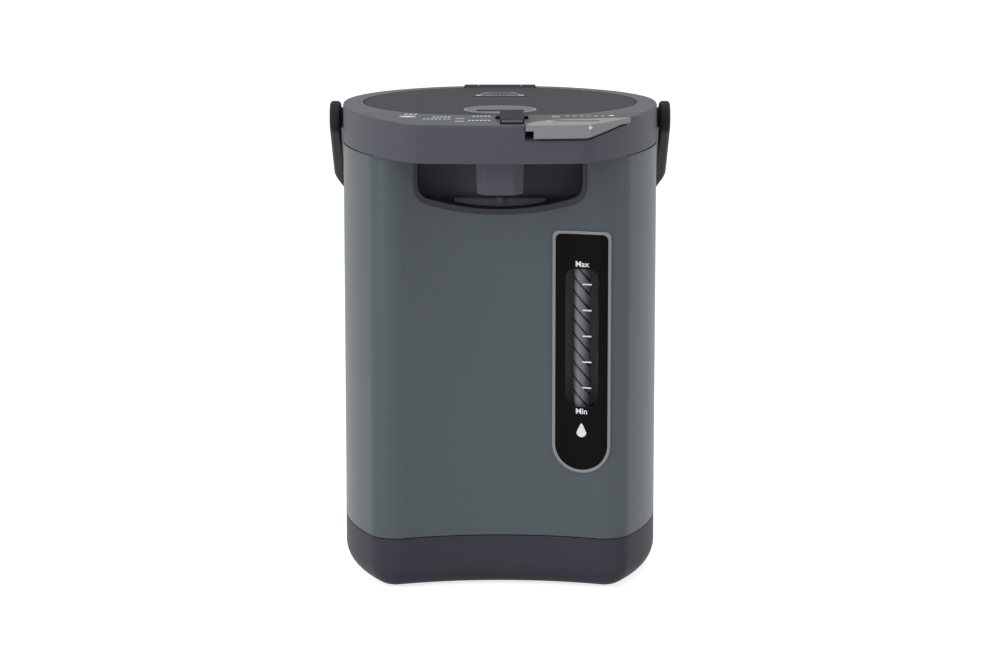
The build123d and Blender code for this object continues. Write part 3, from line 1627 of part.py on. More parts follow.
with BuildPart() as steam_valve:
    with BuildSketch(Plane.XY.offset(valve_low)):
        with Locations((vent_x, vent_y)):
            Circle(valve_radius)
    extrude(amount=valve_disc)
    with BuildSketch(Plane.XY.offset(valve_low)):
        with Locations((vent_x, vent_y)):
            Circle(valve_stem)
    extrude(amount=valve_length)
finish(steam_valve, "steam_valve")

gasket_gap = 0.3

with BuildPart() as lid_gasket:
    with BuildSketch(Plane.XY.offset(flange_top + seal_thick + gasket_gap)):
        with Locations((0, tank_y)):
            Circle(neck_radius + flange)
            Circle(cover_radius + fit_gap, mode=Mode.SUBTRACT)
    extrude(amount=lid_bottom - flange_top - seal_thick - gasket_gap)
finish(lid_gasket, "lid_gasket")

# ---------------------------------------------------------------- lid hinge
bed_front = hinge_y - 1.6
bed_back = hinge_y + hinge_barrel + 1

with BuildPart() as hinge_block:
    with BuildSketch(Plane.XY.offset(hinge_bed)):
        with Locations((0, bed_front)):
            Rectangle(2 * hinge_half_width, bed_back - bed_front, align=(Align.CENTER, Align.MIN))
    extrude(amount=hinge_bed_wall)
    for side in (-1, 1):
        ear_width = hinge_half_width - knuckle_half_width - fit_gap
        ear_x = side * (hinge_half_width - ear_width / 2)
        with BuildSketch(across(ear_x, hinge_y, hinge_z)):
            Circle(hinge_barrel)
            with Locations((bed_front - hinge_y, 0)):
                Rectangle(bed_back - bed_front - 1, hinge_z - hinge_bed, align=(Align.MIN, Align.MAX))
        extrude(amount=ear_width / 2, both=True)
    with BuildSketch(across(0, hinge_y, hinge_z)):
        Circle(hinge_pin_radius + running_gap)
    extrude(amount=hinge_half_width, both=True, mode=Mode.SUBTRACT)
finish(hinge_block, "hinge_block")

with BuildPart() as hinge_pin:
    with BuildSketch(across(0, hinge_y, hinge_z)):
        Circle(hinge_pin_radius)
    extrude(amount=hinge_half_width - 1, both=True)
finish(hinge_pin, "hinge_pin")

# ---------------------------------------------------------------- dispense lever
switch_spot = (34, -115)
switch_size = (12, 7)
switch_height = 2.5
button_height = 0.2
pusher_radius = 1.5
pusher_low = pocket_floor + switch_height + button_height + 1.7

with BuildPart() as dispense_lever:
    with BuildSketch(Plane.XY.offset(lever_top - lever_plate)):
        add(lever_outline(0, lever_proud, lever_corner))
    extrude(amount=lever_plate)
    fillet(dispense_lever.faces().sort_by(Axis.Z)[-1].edges(), 0.6)
    with BuildSketch(Plane.XY.offset(lever_apron_low)):
        add(lever_outline(0, lever_proud, lever_corner))
        add(nose_outline(lever_apron_gap), mode=Mode.SUBTRACT)
    extrude(amount=lever_top - lever_plate - lever_apron_low)
    # the apron stops short over the notch, and its lower edge climbs towards the right end
    with BuildSketch(Plane.XY.offset(lever_apron_low)):
        with Locations((lever_left, nose_y)):
            Rectangle(notch_right - lever_left, 4 * plastic, align=(Align.MIN, Align.CENTER))
    extrude(amount=lever_end_low - lever_apron_low, mode=Mode.SUBTRACT)
    add(pressed(apron_edge(0), reach), mode=Mode.SUBTRACT)
    for x in lever_tab_spots:
        with BuildSketch(across(x, lever_hinge_y, lever_hinge_z)):
            Circle(lever_barrel)
            Rectangle(
                2 * lever_barrel,
                lever_top - lever_plate - lever_hinge_z,
                align=(Align.CENTER, Align.MIN),
            )
        extrude(amount=lever_tab / 2, both=True)
    with BuildSketch(across(0, lever_hinge_y, lever_hinge_z)):
        Circle(lever_pin_radius + running_gap)
    extrude(amount=lever_ear_spots[1], mode=Mode.SUBTRACT)
    with BuildSketch(Plane.XY.offset(pusher_low)):
        with Locations(switch_spot):
            Circle(pusher_radius)
    extrude(amount=lever_top - lever_plate - pusher_low)
finish(dispense_lever, "dispense_lever")

with BuildPart() as lever_pin:
    with BuildSketch(across(lever_ear_spots[0] - lever_ear / 2, lever_hinge_y, lever_hinge_z)):
        Circle(lever_pin_radius)
    extrude(amount=lever_ear_spots[1] - lever_ear_spots[0] + lever_ear)
finish(lever_pin, "lever_pin")

with BuildPart() as dispense_switch:
    with BuildSketch(Plane.XY.offset(pocket_floor)):
        with Locations(switch_spot):
            Rectangle(*switch_size)
    extrude(amount=switch_height)
    with BuildSketch(Plane.XY.offset(pocket_floor + switch_height)):
        with Locations(switch_spot):
            Circle(1)
    extrude(amount=button_height)
finish(dispense_switch, "dispense_switch")

# ---------------------------------------------------------------- handle and its pivots
arm_thick = 7.6
arm_inner = half_width + 1.5
arm_edge_round = 2.5
pivot_head = 6.5
pivot_head_thick = 1.6
pivot_inset = 2.6
fold_angle = 35.8
arm_straight = 69.5
arm_length = 142.0
arm_slope = 0.3
arm_bend = 40.0
grip_corner = 35.0
arm_end = 11.3
arm_waist = 8.0
grip_half = 6.5
handle_plane = Plane(
    origin=(0, axis_y, pivot_z),
    x_dir=(1, 0, 0),
    z_dir=(0, sin(radians(fold_angle)), cos(radians(fold_angle))),
)
side_plane = Plane(
    origin=(0, axis_y, pivot_z),
    x_dir=(0, cos(radians(fold_angle)), -sin(radians(fold_angle))),
    z_dir=(1, 0, 0),
)
arm_middle = arm_inner + arm_thick / 2
arm_outer = arm_inner + arm_thick
grip_x = arm_middle - arm_slope * (arm_length - arm_straight)


def tapered_bar(start, start_radius, end, end_radius):
    """Side view of an arm between two round ends on one line."""
    with BuildSketch(mode=Mode.PRIVATE) as shape:
        with Locations((start, 0)):
            Circle(start_radius)
        with Locations((end, 0)):
            Circle(end_radius)
        make_hull()
    return shape.sketch


with BuildPart() as handle:
    with BuildSketch(handle_plane):
        with BuildLine():
            FilletPolyline(
                (arm_middle, -arm_end),
                (arm_middle, arm_straight),
                (grip_x, arm_length),
                (-grip_x, arm_length),
                (-arm_middle, arm_straight),
                (-arm_middle, -arm_end),
                radius=[arm_bend, grip_corner, grip_corner, arm_bend],
            )
        trace(line_width=arm_thick)
    extrude(amount=arm_end, both=True)
    with BuildSketch(side_plane):
        add(tapered_bar(0, arm_end, arm_straight, arm_waist))
        add(tapered_bar(arm_straight, arm_waist, arm_length, grip_half))
    extrude(amount=half_width * 2, both=True, mode=Mode.INTERSECT)
    fillet(handle.edges(), arm_edge_round)
    with BuildSketch(across(0, axis_y, pivot_z)):
        Circle(pivot_shaft + running_gap)
    extrude(amount=2 * half_width, both=True, mode=Mode.SUBTRACT)
    for side in (-1, 1):
        with BuildSketch(across(side * (arm_outer - pivot_inset), axis_y, pivot_z)):
            Circle(pivot_head + fit_gap)
        extrude(amount=side * 2 * pivot_inset, mode=Mode.SUBTRACT)
finish(handle, "handle")

flange_out = half_width - plastic - 0.5
pivot_gap = 0.2

with BuildPart() as handle_pivots:
    for side in (-1, 1):
        with BuildSketch(across(side * (flange_out - plastic), axis_y, pivot_z)):
            Circle(pivot_flange)
        extrude(amount=side * plastic)
        with BuildSketch(across(side * flange_out, axis_y, pivot_z)):
            Circle(pivot_radius)
        extrude(amount=side * (arm_inner - pivot_gap - flange_out))
        with BuildSketch(across(side * flange_out, axis_y, pivot_z)):
            Circle(pivot_shaft)
        extrude(amount=side * (arm_outer - 0.4 - flange_out))
        with BuildSketch(across(side * (arm_outer - 0.4), axis_y, pivot_z)):
            Circle(pivot_head)
        extrude(amount=-side * pivot_head_thick)
finish(handle_pivots, "handle_pivots")
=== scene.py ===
import math

import bmesh
import bpy
from mathutils import Matrix, Vector
from mathutils.bvhtree import BVHTree


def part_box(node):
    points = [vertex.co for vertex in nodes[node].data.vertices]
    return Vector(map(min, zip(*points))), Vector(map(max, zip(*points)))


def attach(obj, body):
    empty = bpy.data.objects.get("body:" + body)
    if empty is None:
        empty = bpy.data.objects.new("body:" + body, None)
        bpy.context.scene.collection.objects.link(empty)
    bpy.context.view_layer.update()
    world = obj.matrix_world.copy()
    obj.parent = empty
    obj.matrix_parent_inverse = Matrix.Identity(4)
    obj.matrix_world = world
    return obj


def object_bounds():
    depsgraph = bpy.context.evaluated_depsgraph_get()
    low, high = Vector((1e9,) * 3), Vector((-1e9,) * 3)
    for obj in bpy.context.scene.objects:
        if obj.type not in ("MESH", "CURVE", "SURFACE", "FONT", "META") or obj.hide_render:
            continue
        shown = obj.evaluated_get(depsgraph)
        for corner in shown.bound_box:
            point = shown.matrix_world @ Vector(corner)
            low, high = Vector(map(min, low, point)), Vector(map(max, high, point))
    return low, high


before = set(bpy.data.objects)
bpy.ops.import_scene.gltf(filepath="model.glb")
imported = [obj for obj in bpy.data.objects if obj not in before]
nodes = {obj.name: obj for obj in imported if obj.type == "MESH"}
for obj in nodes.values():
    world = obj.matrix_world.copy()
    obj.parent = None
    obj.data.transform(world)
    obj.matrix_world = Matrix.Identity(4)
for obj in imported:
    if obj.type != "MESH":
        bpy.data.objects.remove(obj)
cadLow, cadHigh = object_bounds()
mm = 0.001
print("frame loaded with", len(nodes), "nodes")


# finishes

def startMaterial(name):
    material = bpy.data.materials.new(name)
    material.use_nodes = True
    tree = material.node_tree
    return material, tree, tree.nodes["Principled BSDF"]


def objectCoords(tree, stretch=(1, 1, 1)):
    coords = tree.nodes.new("ShaderNodeTexCoord")
    mapping = tree.nodes.new("ShaderNodeMapping")
    mapping.inputs["Scale"].default_value = stretch
    tree.links.new(coords.outputs["Object"], mapping.inputs["Vector"])
    return mapping.outputs["Vector"]


def noise(tree, vector, scale, detail):
    texture = tree.nodes.new("ShaderNodeTexNoise")
    texture.inputs["Scale"].default_value = scale
    texture.inputs["Detail"].default_value = detail
    tree.links.new(vector, texture.inputs["Vector"])
    return texture.outputs["Fac"]


def blendColours(tree, factor, first, second):
    mix = tree.nodes.new("ShaderNodeMix")
    mix.data_type = "RGBA"
    mix.inputs["A"].default_value = (*first, 1)
    mix.inputs["B"].default_value = (*second, 1)
    tree.links.new(factor, mix.inputs["Factor"])
    return mix.outputs["Result"]


def spread(tree, factor, low, high):
    remap = tree.nodes.new("ShaderNodeMapRange")
    remap.inputs["To Min"].default_value = low
    remap.inputs["To Max"].default_value = high
    tree.links.new(factor, remap.inputs["Value"])
    return remap.outputs["Result"]


def maths(tree, operation, *terms):
    # each term is a number or a socket of another node
    node = tree.nodes.new("ShaderNodeMath")
    node.operation = operation
    for slot, term in zip(node.inputs, terms):
        if isinstance(term, (int, float)):
            slot.default_value = term
        else:
            tree.links.new(term, slot)
    return node.outputs["Value"]


def relief(tree, height, strength, depth):
    bump = tree.nodes.new("ShaderNodeBump")
    bump.inputs["Strength"].default_value = strength
    bump.inputs["Distance"].default_value = depth
    tree.links.new(height, bump.inputs["Height"])
    return bump.outputs["Normal"]


def sRgb(red, green, blue):
    return tuple(((c / 255 + 0.055) / 1.055) ** 2.4 for c in (red, green, blue))


surfaceRules = {"driftDetail": 3, "grainDetail": 2, "roughSwing": 0.08, "depth": 0.1 * mm}


def grainedFinish(name, look):
    # a tone that drifts slowly, a fine grain in the relief, and gloss that follows the drift
    material, tree, shader = startMaterial(name)
    vector = objectCoords(tree, look.get("stretch", (1, 1, 1)))
    drift = noise(tree, vector, look["driftScale"], surfaceRules["driftDetail"])
    grain = noise(tree, vector, look["grainScale"], surfaceRules["grainDetail"])
    base = look["colour"]
    deep = tuple(c * (1 - look["drift"]) for c in base)
    pale = tuple(c * (1 + look["drift"]) for c in base)
    tree.links.new(blendColours(tree, drift, deep, pale), shader.inputs["Base Color"])
    swing = look["rough"] * surfaceRules["roughSwing"]
    gloss = spread(tree, drift, look["rough"] - swing, look["rough"] + swing)
    tree.links.new(gloss, shader.inputs["Roughness"])
    depth = look.get("depth", surfaceRules["depth"])
    tree.links.new(relief(tree, grain, look["relief"], depth), shader.inputs["Normal"])
    shader.inputs["Metallic"].default_value = look.get("metal", 0)
    shader.inputs["Specular IOR Level"].default_value = look.get("specular", 0.5)
    shader.inputs["Alpha"].default_value = look.get("alpha", 1)
    return material


finishes = {
    "casingPaint": {"colour": sRgb(91, 98, 102), "drift": 0.03, "driftScale": 9, "grainScale": 900,
                    "relief": 0.05, "rough": 0.38, "metal": 0.05, "specular": 0.08},
    "shellPlastic": {"colour": sRgb(88, 88, 96), "drift": 0.04, "driftScale": 14, "grainScale": 2600,
                     "relief": 0.12, "rough": 0.48, "specular": 0.06},
    "lidPlastic": {"colour": sRgb(71, 72, 76), "drift": 0.04, "driftScale": 14, "grainScale": 2600,
                   "relief": 0.12, "rough": 0.6, "specular": 0.02},
    # the collar's plastic painted darker for the base skirt: painted shade, as the low base gets less of
    # the light from above
    "baseShadedPlastic": {"colour": sRgb(68, 68, 76), "drift": 0.04, "driftScale": 14, "grainScale": 2600,
                    "relief": 0.12, "rough": 0.5, "specular": 0.04},
    "handlePlastic": {"colour": sRgb(45, 45, 50), "drift": 0.04, "driftScale": 16, "grainScale": 2600,
                      "relief": 0.12, "rough": 0.42, "specular": 0.06},
    "bayPlastic": {"colour": sRgb(80, 81, 88), "drift": 0.04, "driftScale": 18, "grainScale": 2600,
                   "relief": 0.12, "rough": 0.5, "specular": 0.1},
    "spoutPlastic": {"colour": sRgb(90, 90, 99), "drift": 0.04, "driftScale": 18, "grainScale": 2600,
                     "relief": 0.1, "rough": 0.4, "specular": 0.15},
    "trimPlastic": {"colour": sRgb(52, 53, 58), "drift": 0.04, "driftScale": 18, "grainScale": 2400,
                    "relief": 0.1, "rough": 0.34, "specular": 0.25},
    "panelPlastic": {"colour": sRgb(104, 108, 110), "drift": 0.03, "driftScale": 20, "grainScale": 3000,
                     "relief": 0.08, "rough": 0.55, "specular": 0.02},
    "silverPaint": {"colour": sRgb(142, 143, 143), "drift": 0.03, "driftScale": 24, "grainScale": 3800,
                    "relief": 0.1, "rough": 0.4, "metal": 0.1, "specular": 0.05},
    "cupSilver": {"colour": sRgb(104, 105, 108), "drift": 0.03, "driftScale": 24, "grainScale": 3800,
                  "relief": 0.1, "rough": 0.45, "metal": 0.1, "specular": 0.04},
    "ventPlastic": {"colour": sRgb(88, 88, 91), "drift": 0.03, "driftScale": 24, "grainScale": 3000,
                    "relief": 0.08, "rough": 0.5, "specular": 0.03},
    "navyPlastic": {"colour": sRgb(34, 37, 48), "drift": 0.03, "driftScale": 24, "grainScale": 3000,
                    "relief": 0.06, "rough": 0.45, "specular": 0.02},
    "windowBlack": {"colour": sRgb(15, 15, 15), "drift": 0.04, "driftScale": 20, "grainScale": 3200,
                    "relief": 0.03, "rough": 0.42, "specular": 0.04},
    "bezelSilver": {"colour": sRgb(135, 136, 137), "drift": 0.03, "driftScale": 24, "grainScale": 3600,
                    "relief": 0.06, "rough": 0.36, "metal": 0.3, "specular": 0.2},
    "smokedLens": {"colour": sRgb(34, 36, 37), "drift": 0.02, "driftScale": 20, "grainScale": 2000,
                   "relief": 0.02, "rough": 0.12, "alpha": 0.1, "specular": 0.12},
    "lampLens": {"colour": sRgb(120, 96, 70), "drift": 0.05, "driftScale": 60, "grainScale": 1800,
                 "relief": 0.05, "rough": 0.2},
    "backingPlastic": {"colour": sRgb(116, 118, 118), "drift": 0.03, "driftScale": 20, "grainScale": 2600,
                       "relief": 0.08, "rough": 0.5, "specular": 0.2},
    "brushedSteel": {"colour": sRgb(196, 197, 198), "drift": 0.05, "driftScale": 40, "grainScale": 900,
                     "relief": 0.2, "rough": 0.3, "metal": 1, "stretch": (1, 1, 14)},
    "castAluminium": {"colour": sRgb(188, 189, 190), "drift": 0.06, "driftScale": 60, "grainScale": 1400,
                      "relief": 0.25, "rough": 0.45, "metal": 1},
    "sealRubber": {"colour": sRgb(52, 52, 54), "drift": 0.06, "driftScale": 40, "grainScale": 2400,
                   "relief": 0.2, "rough": 0.7},
    "paleNylon": {"colour": sRgb(206, 205, 198), "drift": 0.03, "driftScale": 30, "grainScale": 2200,
                  "relief": 0.1, "rough": 0.5},
    "pinBrass": {"colour": sRgb(196, 162, 92), "drift": 0.05, "driftScale": 60, "grainScale": 1600,
                 "relief": 0.1, "rough": 0.28, "metal": 1},
    "boardGreen": {"colour": sRgb(38, 86, 52), "drift": 0.08, "driftScale": 120, "grainScale": 2600,
                   "relief": 0.1, "rough": 0.42},
    "wrapFelt": {"colour": sRgb(196, 192, 184), "drift": 0.1, "driftScale": 80, "grainScale": 1500,
                 "relief": 0.8, "depth": 0.4 * mm, "rough": 0.95},
    "markWhite": {"colour": sRgb(240, 241, 242), "drift": 0.01, "driftScale": 60, "grainScale": 3000,
                  "relief": 0.03, "rough": 0.55},
    # a paler copy of the navy plastic: painted light on the slider's front face
    "sliderLitFace": {"colour": sRgb(98, 102, 113), "drift": 0.03, "driftScale": 24, "grainScale": 3000,
                   "relief": 0.06, "rough": 0.36, "specular": 0.2},
    "seamShadow": {"colour": sRgb(22, 22, 24), "drift": 0.05, "driftScale": 30, "grainScale": 2600,
                   "relief": 0.05, "rough": 0.8, "specular": 0.1},
    # painted shade for a groove that is not modelled
    "grooveShadePaint": {"colour": sRgb(50, 50, 54), "drift": 0.03, "driftScale": 60, "grainScale": 3000,
                   "relief": 0.03, "rough": 0.6, "specular": 0.1},
}
made = {name: grainedFinish(name, look) for name, look in finishes.items()}


# the tube behind the window carries slanting dark stripes on grey
stripes = {"pitch": 9.5 * mm, "slope": 1.16, "width": 0.2, "rough": 0.35,
           "ground": sRgb(146, 146, 149), "line": sRgb(30, 30, 78)}


def stripedTube(look):
    material, tree, shader = startMaterial("stripedTube")
    coords = tree.nodes.new("ShaderNodeTexCoord")
    axes = tree.nodes.new("ShaderNodeSeparateXYZ")
    tree.links.new(coords.outputs["Object"], axes.inputs["Vector"])
    lean = maths(tree, "MULTIPLY_ADD", axes.outputs["X"], look["slope"], axes.outputs["Z"])
    turns = maths(tree, "DIVIDE", lean, look["pitch"])
    line = maths(tree, "LESS_THAN", maths(tree, "FRACT", turns), look["width"])
    colour = blendColours(tree, line, look["ground"], look["line"])
    tree.links.new(colour, shader.inputs["Base Color"])
    shader.inputs["Roughness"].default_value = look["rough"]
    return material


made["stripedTube"] = stripedTube(stripes)

nodeFinish = {
    "casingPaint": ["outer_shell"],
    "shellPlastic": ["collar"],
    "lidPlastic": ["lid_top", "hinge_block"],
    # the base skirt takes the darker copy of the collar plastic, which is painted shade
    "baseShadedPlastic": ["base_skirt"],
    "handlePlastic": ["handle", "handle_pivots"],
    "bayPlastic": ["bay_liner", "nose_cover", "cup_lever", "bottom_cover", "lid_liner", "power_inlet",
                   "pump_housing"],
    "spoutPlastic": ["spout_shroud"],
    "trimPlastic": ["bay_trim", "slider_track"],
    "panelPlastic": ["control_panel"],
    "silverPaint": ["dispense_lever"],
    "cupSilver": ["finger_cup"],
    "ventPlastic": ["vent_cap"],
    "navyPlastic": ["lock_slider", "lid_latch"],
    "windowBlack": ["window_panel"],
    "bezelSilver": ["window_bezel"],
    "smokedLens": ["window_lens"],
    "lampLens": ["indicator_lenses"],
    "backingPlastic": ["level_backing"],
    "stripedTube": ["level_tube"],
    "brushedSteel": ["inner_tank", "inner_cover", "tie_rods", "heater_element", "hinge_pin", "latch_pin",
                     "lever_pin", "cup_lever_pin", "bottom_screws", "latch_spring", "lever_spring",
                     "motor_can", "motor_rotor", "inlet_filter"],
    "castAluminium": ["heater_plate"],
    "sealRubber": ["tank_seal", "lid_gasket", "tube_seals", "inlet_grommet", "outlet_hose", "spout_hose",
                   "feet", "steam_valve"],
    "paleNylon": ["pump_impeller", "spout_nozzle", "thermal_cutouts", "dispense_switch"],
    "pinBrass": ["inlet_pins"],
    "boardGreen": ["control_board", "power_board"],
    "wrapFelt": ["insulation_wrap"],
}


def dress(nodeName, material):
    node = nodes[nodeName]
    if not node.material_slots:
        node.data.materials.append(material)
    for place in node.material_slots:
        place.material = material


dressed = set()
for finishName, nodeNames in nodeFinish.items():
    for nodeName in nodeNames:
        dress(nodeName, made[finishName])
        dressed.add(nodeName)
print("finishes on", len(dressed), "nodes, bare:", sorted(set(nodes) - dressed))


# pieces laid on the surface of a node

def surfaceOf(nodeName):
    mesh = nodes[nodeName].data
    return BVHTree.FromPolygons([v.co for v in mesh.vertices], [p.vertices for p in mesh.polygons])


def layOn(bm, nodeName, direction, lift):
    # the cast starts a metre off the part
    surface = surfaceOf(nodeName)
    way = Vector(direction)
    for vert in bm.verts:
        spot = surface.ray_cast(vert.co - way, way)[0]
        if spot is None:
            raise RuntimeError("a mark misses " + nodeName)
        vert.co = spot - way * lift


def faceUp(bm, towards):
    # a flat mark is one sided, so its faces are turned the way it is looked at
    bm.normal_update()
    wrong = [f for f in bm.faces if f.normal.dot(towards) < 0]
    bmesh.ops.reverse_faces(bm, faces=wrong)


def meshPiece(bm, name, materialName):
    mesh = bpy.data.meshes.new(name)
    bm.to_mesh(mesh)
    bm.free()
    piece = bpy.data.objects.new(name, mesh)
    bpy.context.scene.collection.objects.link(piece)
    mesh.materials.append(made[materialName])
    return piece


def flatPiece(bm, name, materialName, body, towards):
    faceUp(bm, Vector(towards))
    piece = meshPiece(bm, name, materialName)
    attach(piece, body)
    return piece


def addBar(bm, centre, size, turn=0.0, cuts=2):
    # a flat rectangle in local x and y
    bar = bmesh.ops.create_grid(bm, x_segments=cuts, y_segments=cuts, size=0.5)["verts"]
    bmesh.ops.scale(bm, verts=bar, vec=(size[0], size[1], 1))
    bmesh.ops.rotate(bm, verts=bar, cent=(0, 0, 0), matrix=Matrix.Rotation(turn, 3, "Z"))
    bmesh.ops.translate(bm, verts=bar, vec=(centre[0], centre[1], 0))
    return bar


def addDisc(bm, centre, radius, segments=24):
    disc = bmesh.ops.create_circle(bm, cap_ends=True, radius=radius, segments=segments)["verts"]
    bmesh.ops.translate(bm, verts=disc, vec=(centre[0], centre[1], 0))
    return disc


def addRing(bm, centre, radius, width, segments=32):
    # only for an empty mesh, as it moves all that is there
    disc = bmesh.ops.create_circle(bm, cap_ends=True, radius=radius, segments=segments)["verts"]
    face = list(disc[0].link_faces)
    bmesh.ops.inset_region(bm, faces=face, thickness=width, depth=0, use_boundary=True)
    bmesh.ops.delete(bm, geom=face, context="FACES")
    bmesh.ops.translate(bm, verts=bm.verts, vec=(centre[0], centre[1], 0))


dropShape = {"segments": 32, "pinch": 0.45, "stretch": 0.9}


def addDrop(bm, centre, radius):
    drop = addDisc(bm, centre, radius, dropShape["segments"])
    for vert in drop:
        climb = vert.co.y - centre[1]
        if climb > 0:
            share = climb / radius
            vert.co.x = centre[0] + (vert.co.x - centre[0]) * (1 - dropShape["pinch"] * share)
            vert.co.y = centre[1] + climb * (1 + dropShape["stretch"] * share)


def standUp(bm, centre):
    # local x and y become x and z, seen from the front
    bmesh.ops.rotate(bm, verts=bm.verts, cent=(0, 0, 0), matrix=Matrix.Rotation(math.pi / 2, 3, "X"))
    bmesh.ops.translate(bm, verts=bm.verts, vec=centre)


frontward = (0, -1, 0)
inward = (0, 1, 0)
upward = (0, 0, 1)
downward = (0, 0, -1)


def topMark(bm, name, nodeName, lift, materialName, body):
    # a mark drawn in x and y is dropped on the top of a node
    bmesh.ops.translate(bm, verts=bm.verts, vec=(0, 0, cadHigh.z))
    layOn(bm, nodeName, downward, lift)
    return flatPiece(bm, name, materialName, body, upward)


def frontMark(bm, name, nodeName, lift, materialName, body, centre):
    # a mark drawn in x and y stands up and is pushed on the front of a node
    standUp(bm, centre)
    layOn(bm, nodeName, inward, lift)
    return flatPiece(bm, name, materialName, body, frontward)


# level marks: ticks beside the tube, two words and a drop
levelMarks = {"ticks": 5, "tickSize": (5.9 * mm, 0.9 * mm), "tickShift": 3.4 * mm, "topTick": 9.9 * mm,
              "tickPitch": 17.3 * mm, "lift": 0.12 * mm, "wordSize": 5.2 * mm, "wordGap": 3.4 * mm,
              "wordWeight": 0.02, "dropRadius": 3.2 * mm, "dropBelow": 17.5 * mm}

lensLow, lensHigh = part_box("window_lens")
lensMiddle = (lensLow.x + lensHigh.x) / 2

for number in range(levelMarks["ticks"]):
    tick = bmesh.new()
    addBar(tick, (0, 0), levelMarks["tickSize"], cuts=4)
    level = lensHigh.z - levelMarks["topTick"] - number * levelMarks["tickPitch"]
    spot = (lensMiddle + levelMarks["tickShift"], 0, level)
    tickName = "levelTick" + str(number + 1)
    mark = frontMark(tick, tickName, "window_lens", levelMarks["lift"], "markWhite", "pot", spot)


def drawWord(word, name, size):
    curve = bpy.data.curves.new(name, "FONT")
    curve.body = word
    curve.size = size
    curve.align_x = "CENTER"
    curve.align_y = "CENTER"
    curve.offset = size * levelMarks["wordWeight"]
    holder = bpy.data.objects.new(name + "Text", curve)
    bpy.context.scene.collection.objects.link(holder)
    bpy.context.view_layer.update()
    letters = bmesh.new()
    letters.from_mesh(holder.to_mesh())
    bpy.data.objects.remove(holder)
    return letters


wordSpots = {"Max": lensHigh.z + levelMarks["wordGap"], "Min": lensLow.z - levelMarks["wordGap"]}
for word, level in wordSpots.items():
    wordName = "levelWord" + word
    letters = drawWord(word, wordName, levelMarks["wordSize"])
    spot = (lensMiddle, 0, level)
    mark = frontMark(letters, wordName, "window_panel", levelMarks["lift"], "markWhite", "pot", spot)

dropMark = bmesh.new()
addDrop(dropMark, (0, 0), levelMarks["dropRadius"])
spot = (lensMiddle, 0, lensLow.z - levelMarks["dropBelow"])
mark = frontMark(dropMark, "levelDrop", "window_panel", levelMarks["lift"], "markWhite", "pot", spot)
print("level marks laid on the window")


# marks on the control panel, in x and y on its top
panelMarks = {
    "lift": 0.12 * mm,
    "ring": (36.2 * mm, -80 * mm), "ringRadius": 2.5 * mm, "ringWidth": 0.8 * mm, "ringStretch": 1.5,
    "drop": (72.7 * mm, -74 * mm), "dropRadius": 2.0 * mm,
    "dash": (1.7 * mm, 3.6 * mm), "dashGap": 0.8 * mm,
    "arrows": 6, "arrowStart": 44 * mm, "arrowPitch": 4.6 * mm, "arrowY": -75.8 * mm,
    "arrowHalf": 1.0 * mm, "arrowArm": (3.2 * mm, 0.8 * mm), "arrowTurn": math.radians(40),
}
# the brim, the saucer and the steam's shifts and sizes are shares of the cup's radius
cupLook = {"centre": (-60 * mm, -77 * mm), "radius": 5.2 * mm, "segments": 32, "brim": 0.2,
           "saucerDrop": 1.3, "saucer": (2.2, 0.24), "steam": (1.5 * mm, 10.5 * mm),
           "steamShifts": (-0.55, 0.05, 0.65), "steamSize": (0.22, 1.5), "steamTurn": -0.25,
           "mergeDistance": 0.01 * mm}
# left end, right end and y of each row
panelRows = ((-43.8, -37.3, -82.3), (-36.4, -32.6, -82.3), (-49.7, -38.8, -93.9), (-36.6, -33.0, -93.9),
             (-17.9, -6.5, -77.6), (-20.5, -6.4, -102.0))


def finishPanelMark(bm, name):
    mark = topMark(bm, name, "control_panel", panelMarks["lift"], "markWhite", "pot")


cupMark = bmesh.new()
cupX, cupY = cupLook["centre"]
cupRadius = cupLook["radius"]
bowl = addDisc(cupMark, (cupX, cupY), cupRadius, cupLook["segments"])
for vert in bowl:
    vert.co.y = min(vert.co.y, cupY + cupRadius * cupLook["brim"])
saucerSize = [cupRadius * share for share in cupLook["saucer"]]
addBar(cupMark, (cupX, cupY - cupRadius * cupLook["saucerDrop"]), saucerSize)
steamX, steamY = cupLook["steam"]
steamSize = [cupRadius * share for share in cupLook["steamSize"]]
for shift in cupLook["steamShifts"]:
    spot = (cupX + steamX + shift * cupRadius, cupY + steamY)
    addBar(cupMark, spot, steamSize, cupLook["steamTurn"])
bmesh.ops.dissolve_degenerate(cupMark, edges=cupMark.edges, dist=cupLook["mergeDistance"])
finishPanelMark(cupMark, "panelCup")

ringMark = bmesh.new()
addRing(ringMark, (0, 0), panelMarks["ringRadius"], panelMarks["ringWidth"])
bmesh.ops.scale(ringMark, verts=ringMark.verts, vec=(1, panelMarks["ringStretch"], 1))
bmesh.ops.translate(ringMark, verts=ringMark.verts, vec=(*panelMarks["ring"], 0))
finishPanelMark(ringMark, "panelRing")

panelDrop = bmesh.new()
addDrop(panelDrop, panelMarks["drop"], panelMarks["dropRadius"])
finishPanelMark(panelDrop, "panelDrop")

# rows of short strokes stand where the functions are named
dashWide = panelMarks["dash"][0]
dashStep = dashWide + panelMarks["dashGap"]
for number, (left, right, rowY) in enumerate(panelRows):
    rowMark = bmesh.new()
    count = int((right - left) * mm / dashStep) + 1
    for place in range(count):
        dashX = left * mm + dashWide / 2 + place * dashStep
        addBar(rowMark, (dashX, rowY * mm), panelMarks["dash"])
    finishPanelMark(rowMark, "panelRow" + str(number + 1))

arrowMark = bmesh.new()
for number in range(panelMarks["arrows"]):
    arrowX = panelMarks["arrowStart"] + number * panelMarks["arrowPitch"]
    for side in (-1, 1):
        middle = (arrowX, panelMarks["arrowY"] + side * panelMarks["arrowHalf"])
        addBar(arrowMark, middle, panelMarks["arrowArm"], -side * panelMarks["arrowTurn"])
finishPanelMark(arrowMark, "panelArrows")
print("marks laid on the control panel")
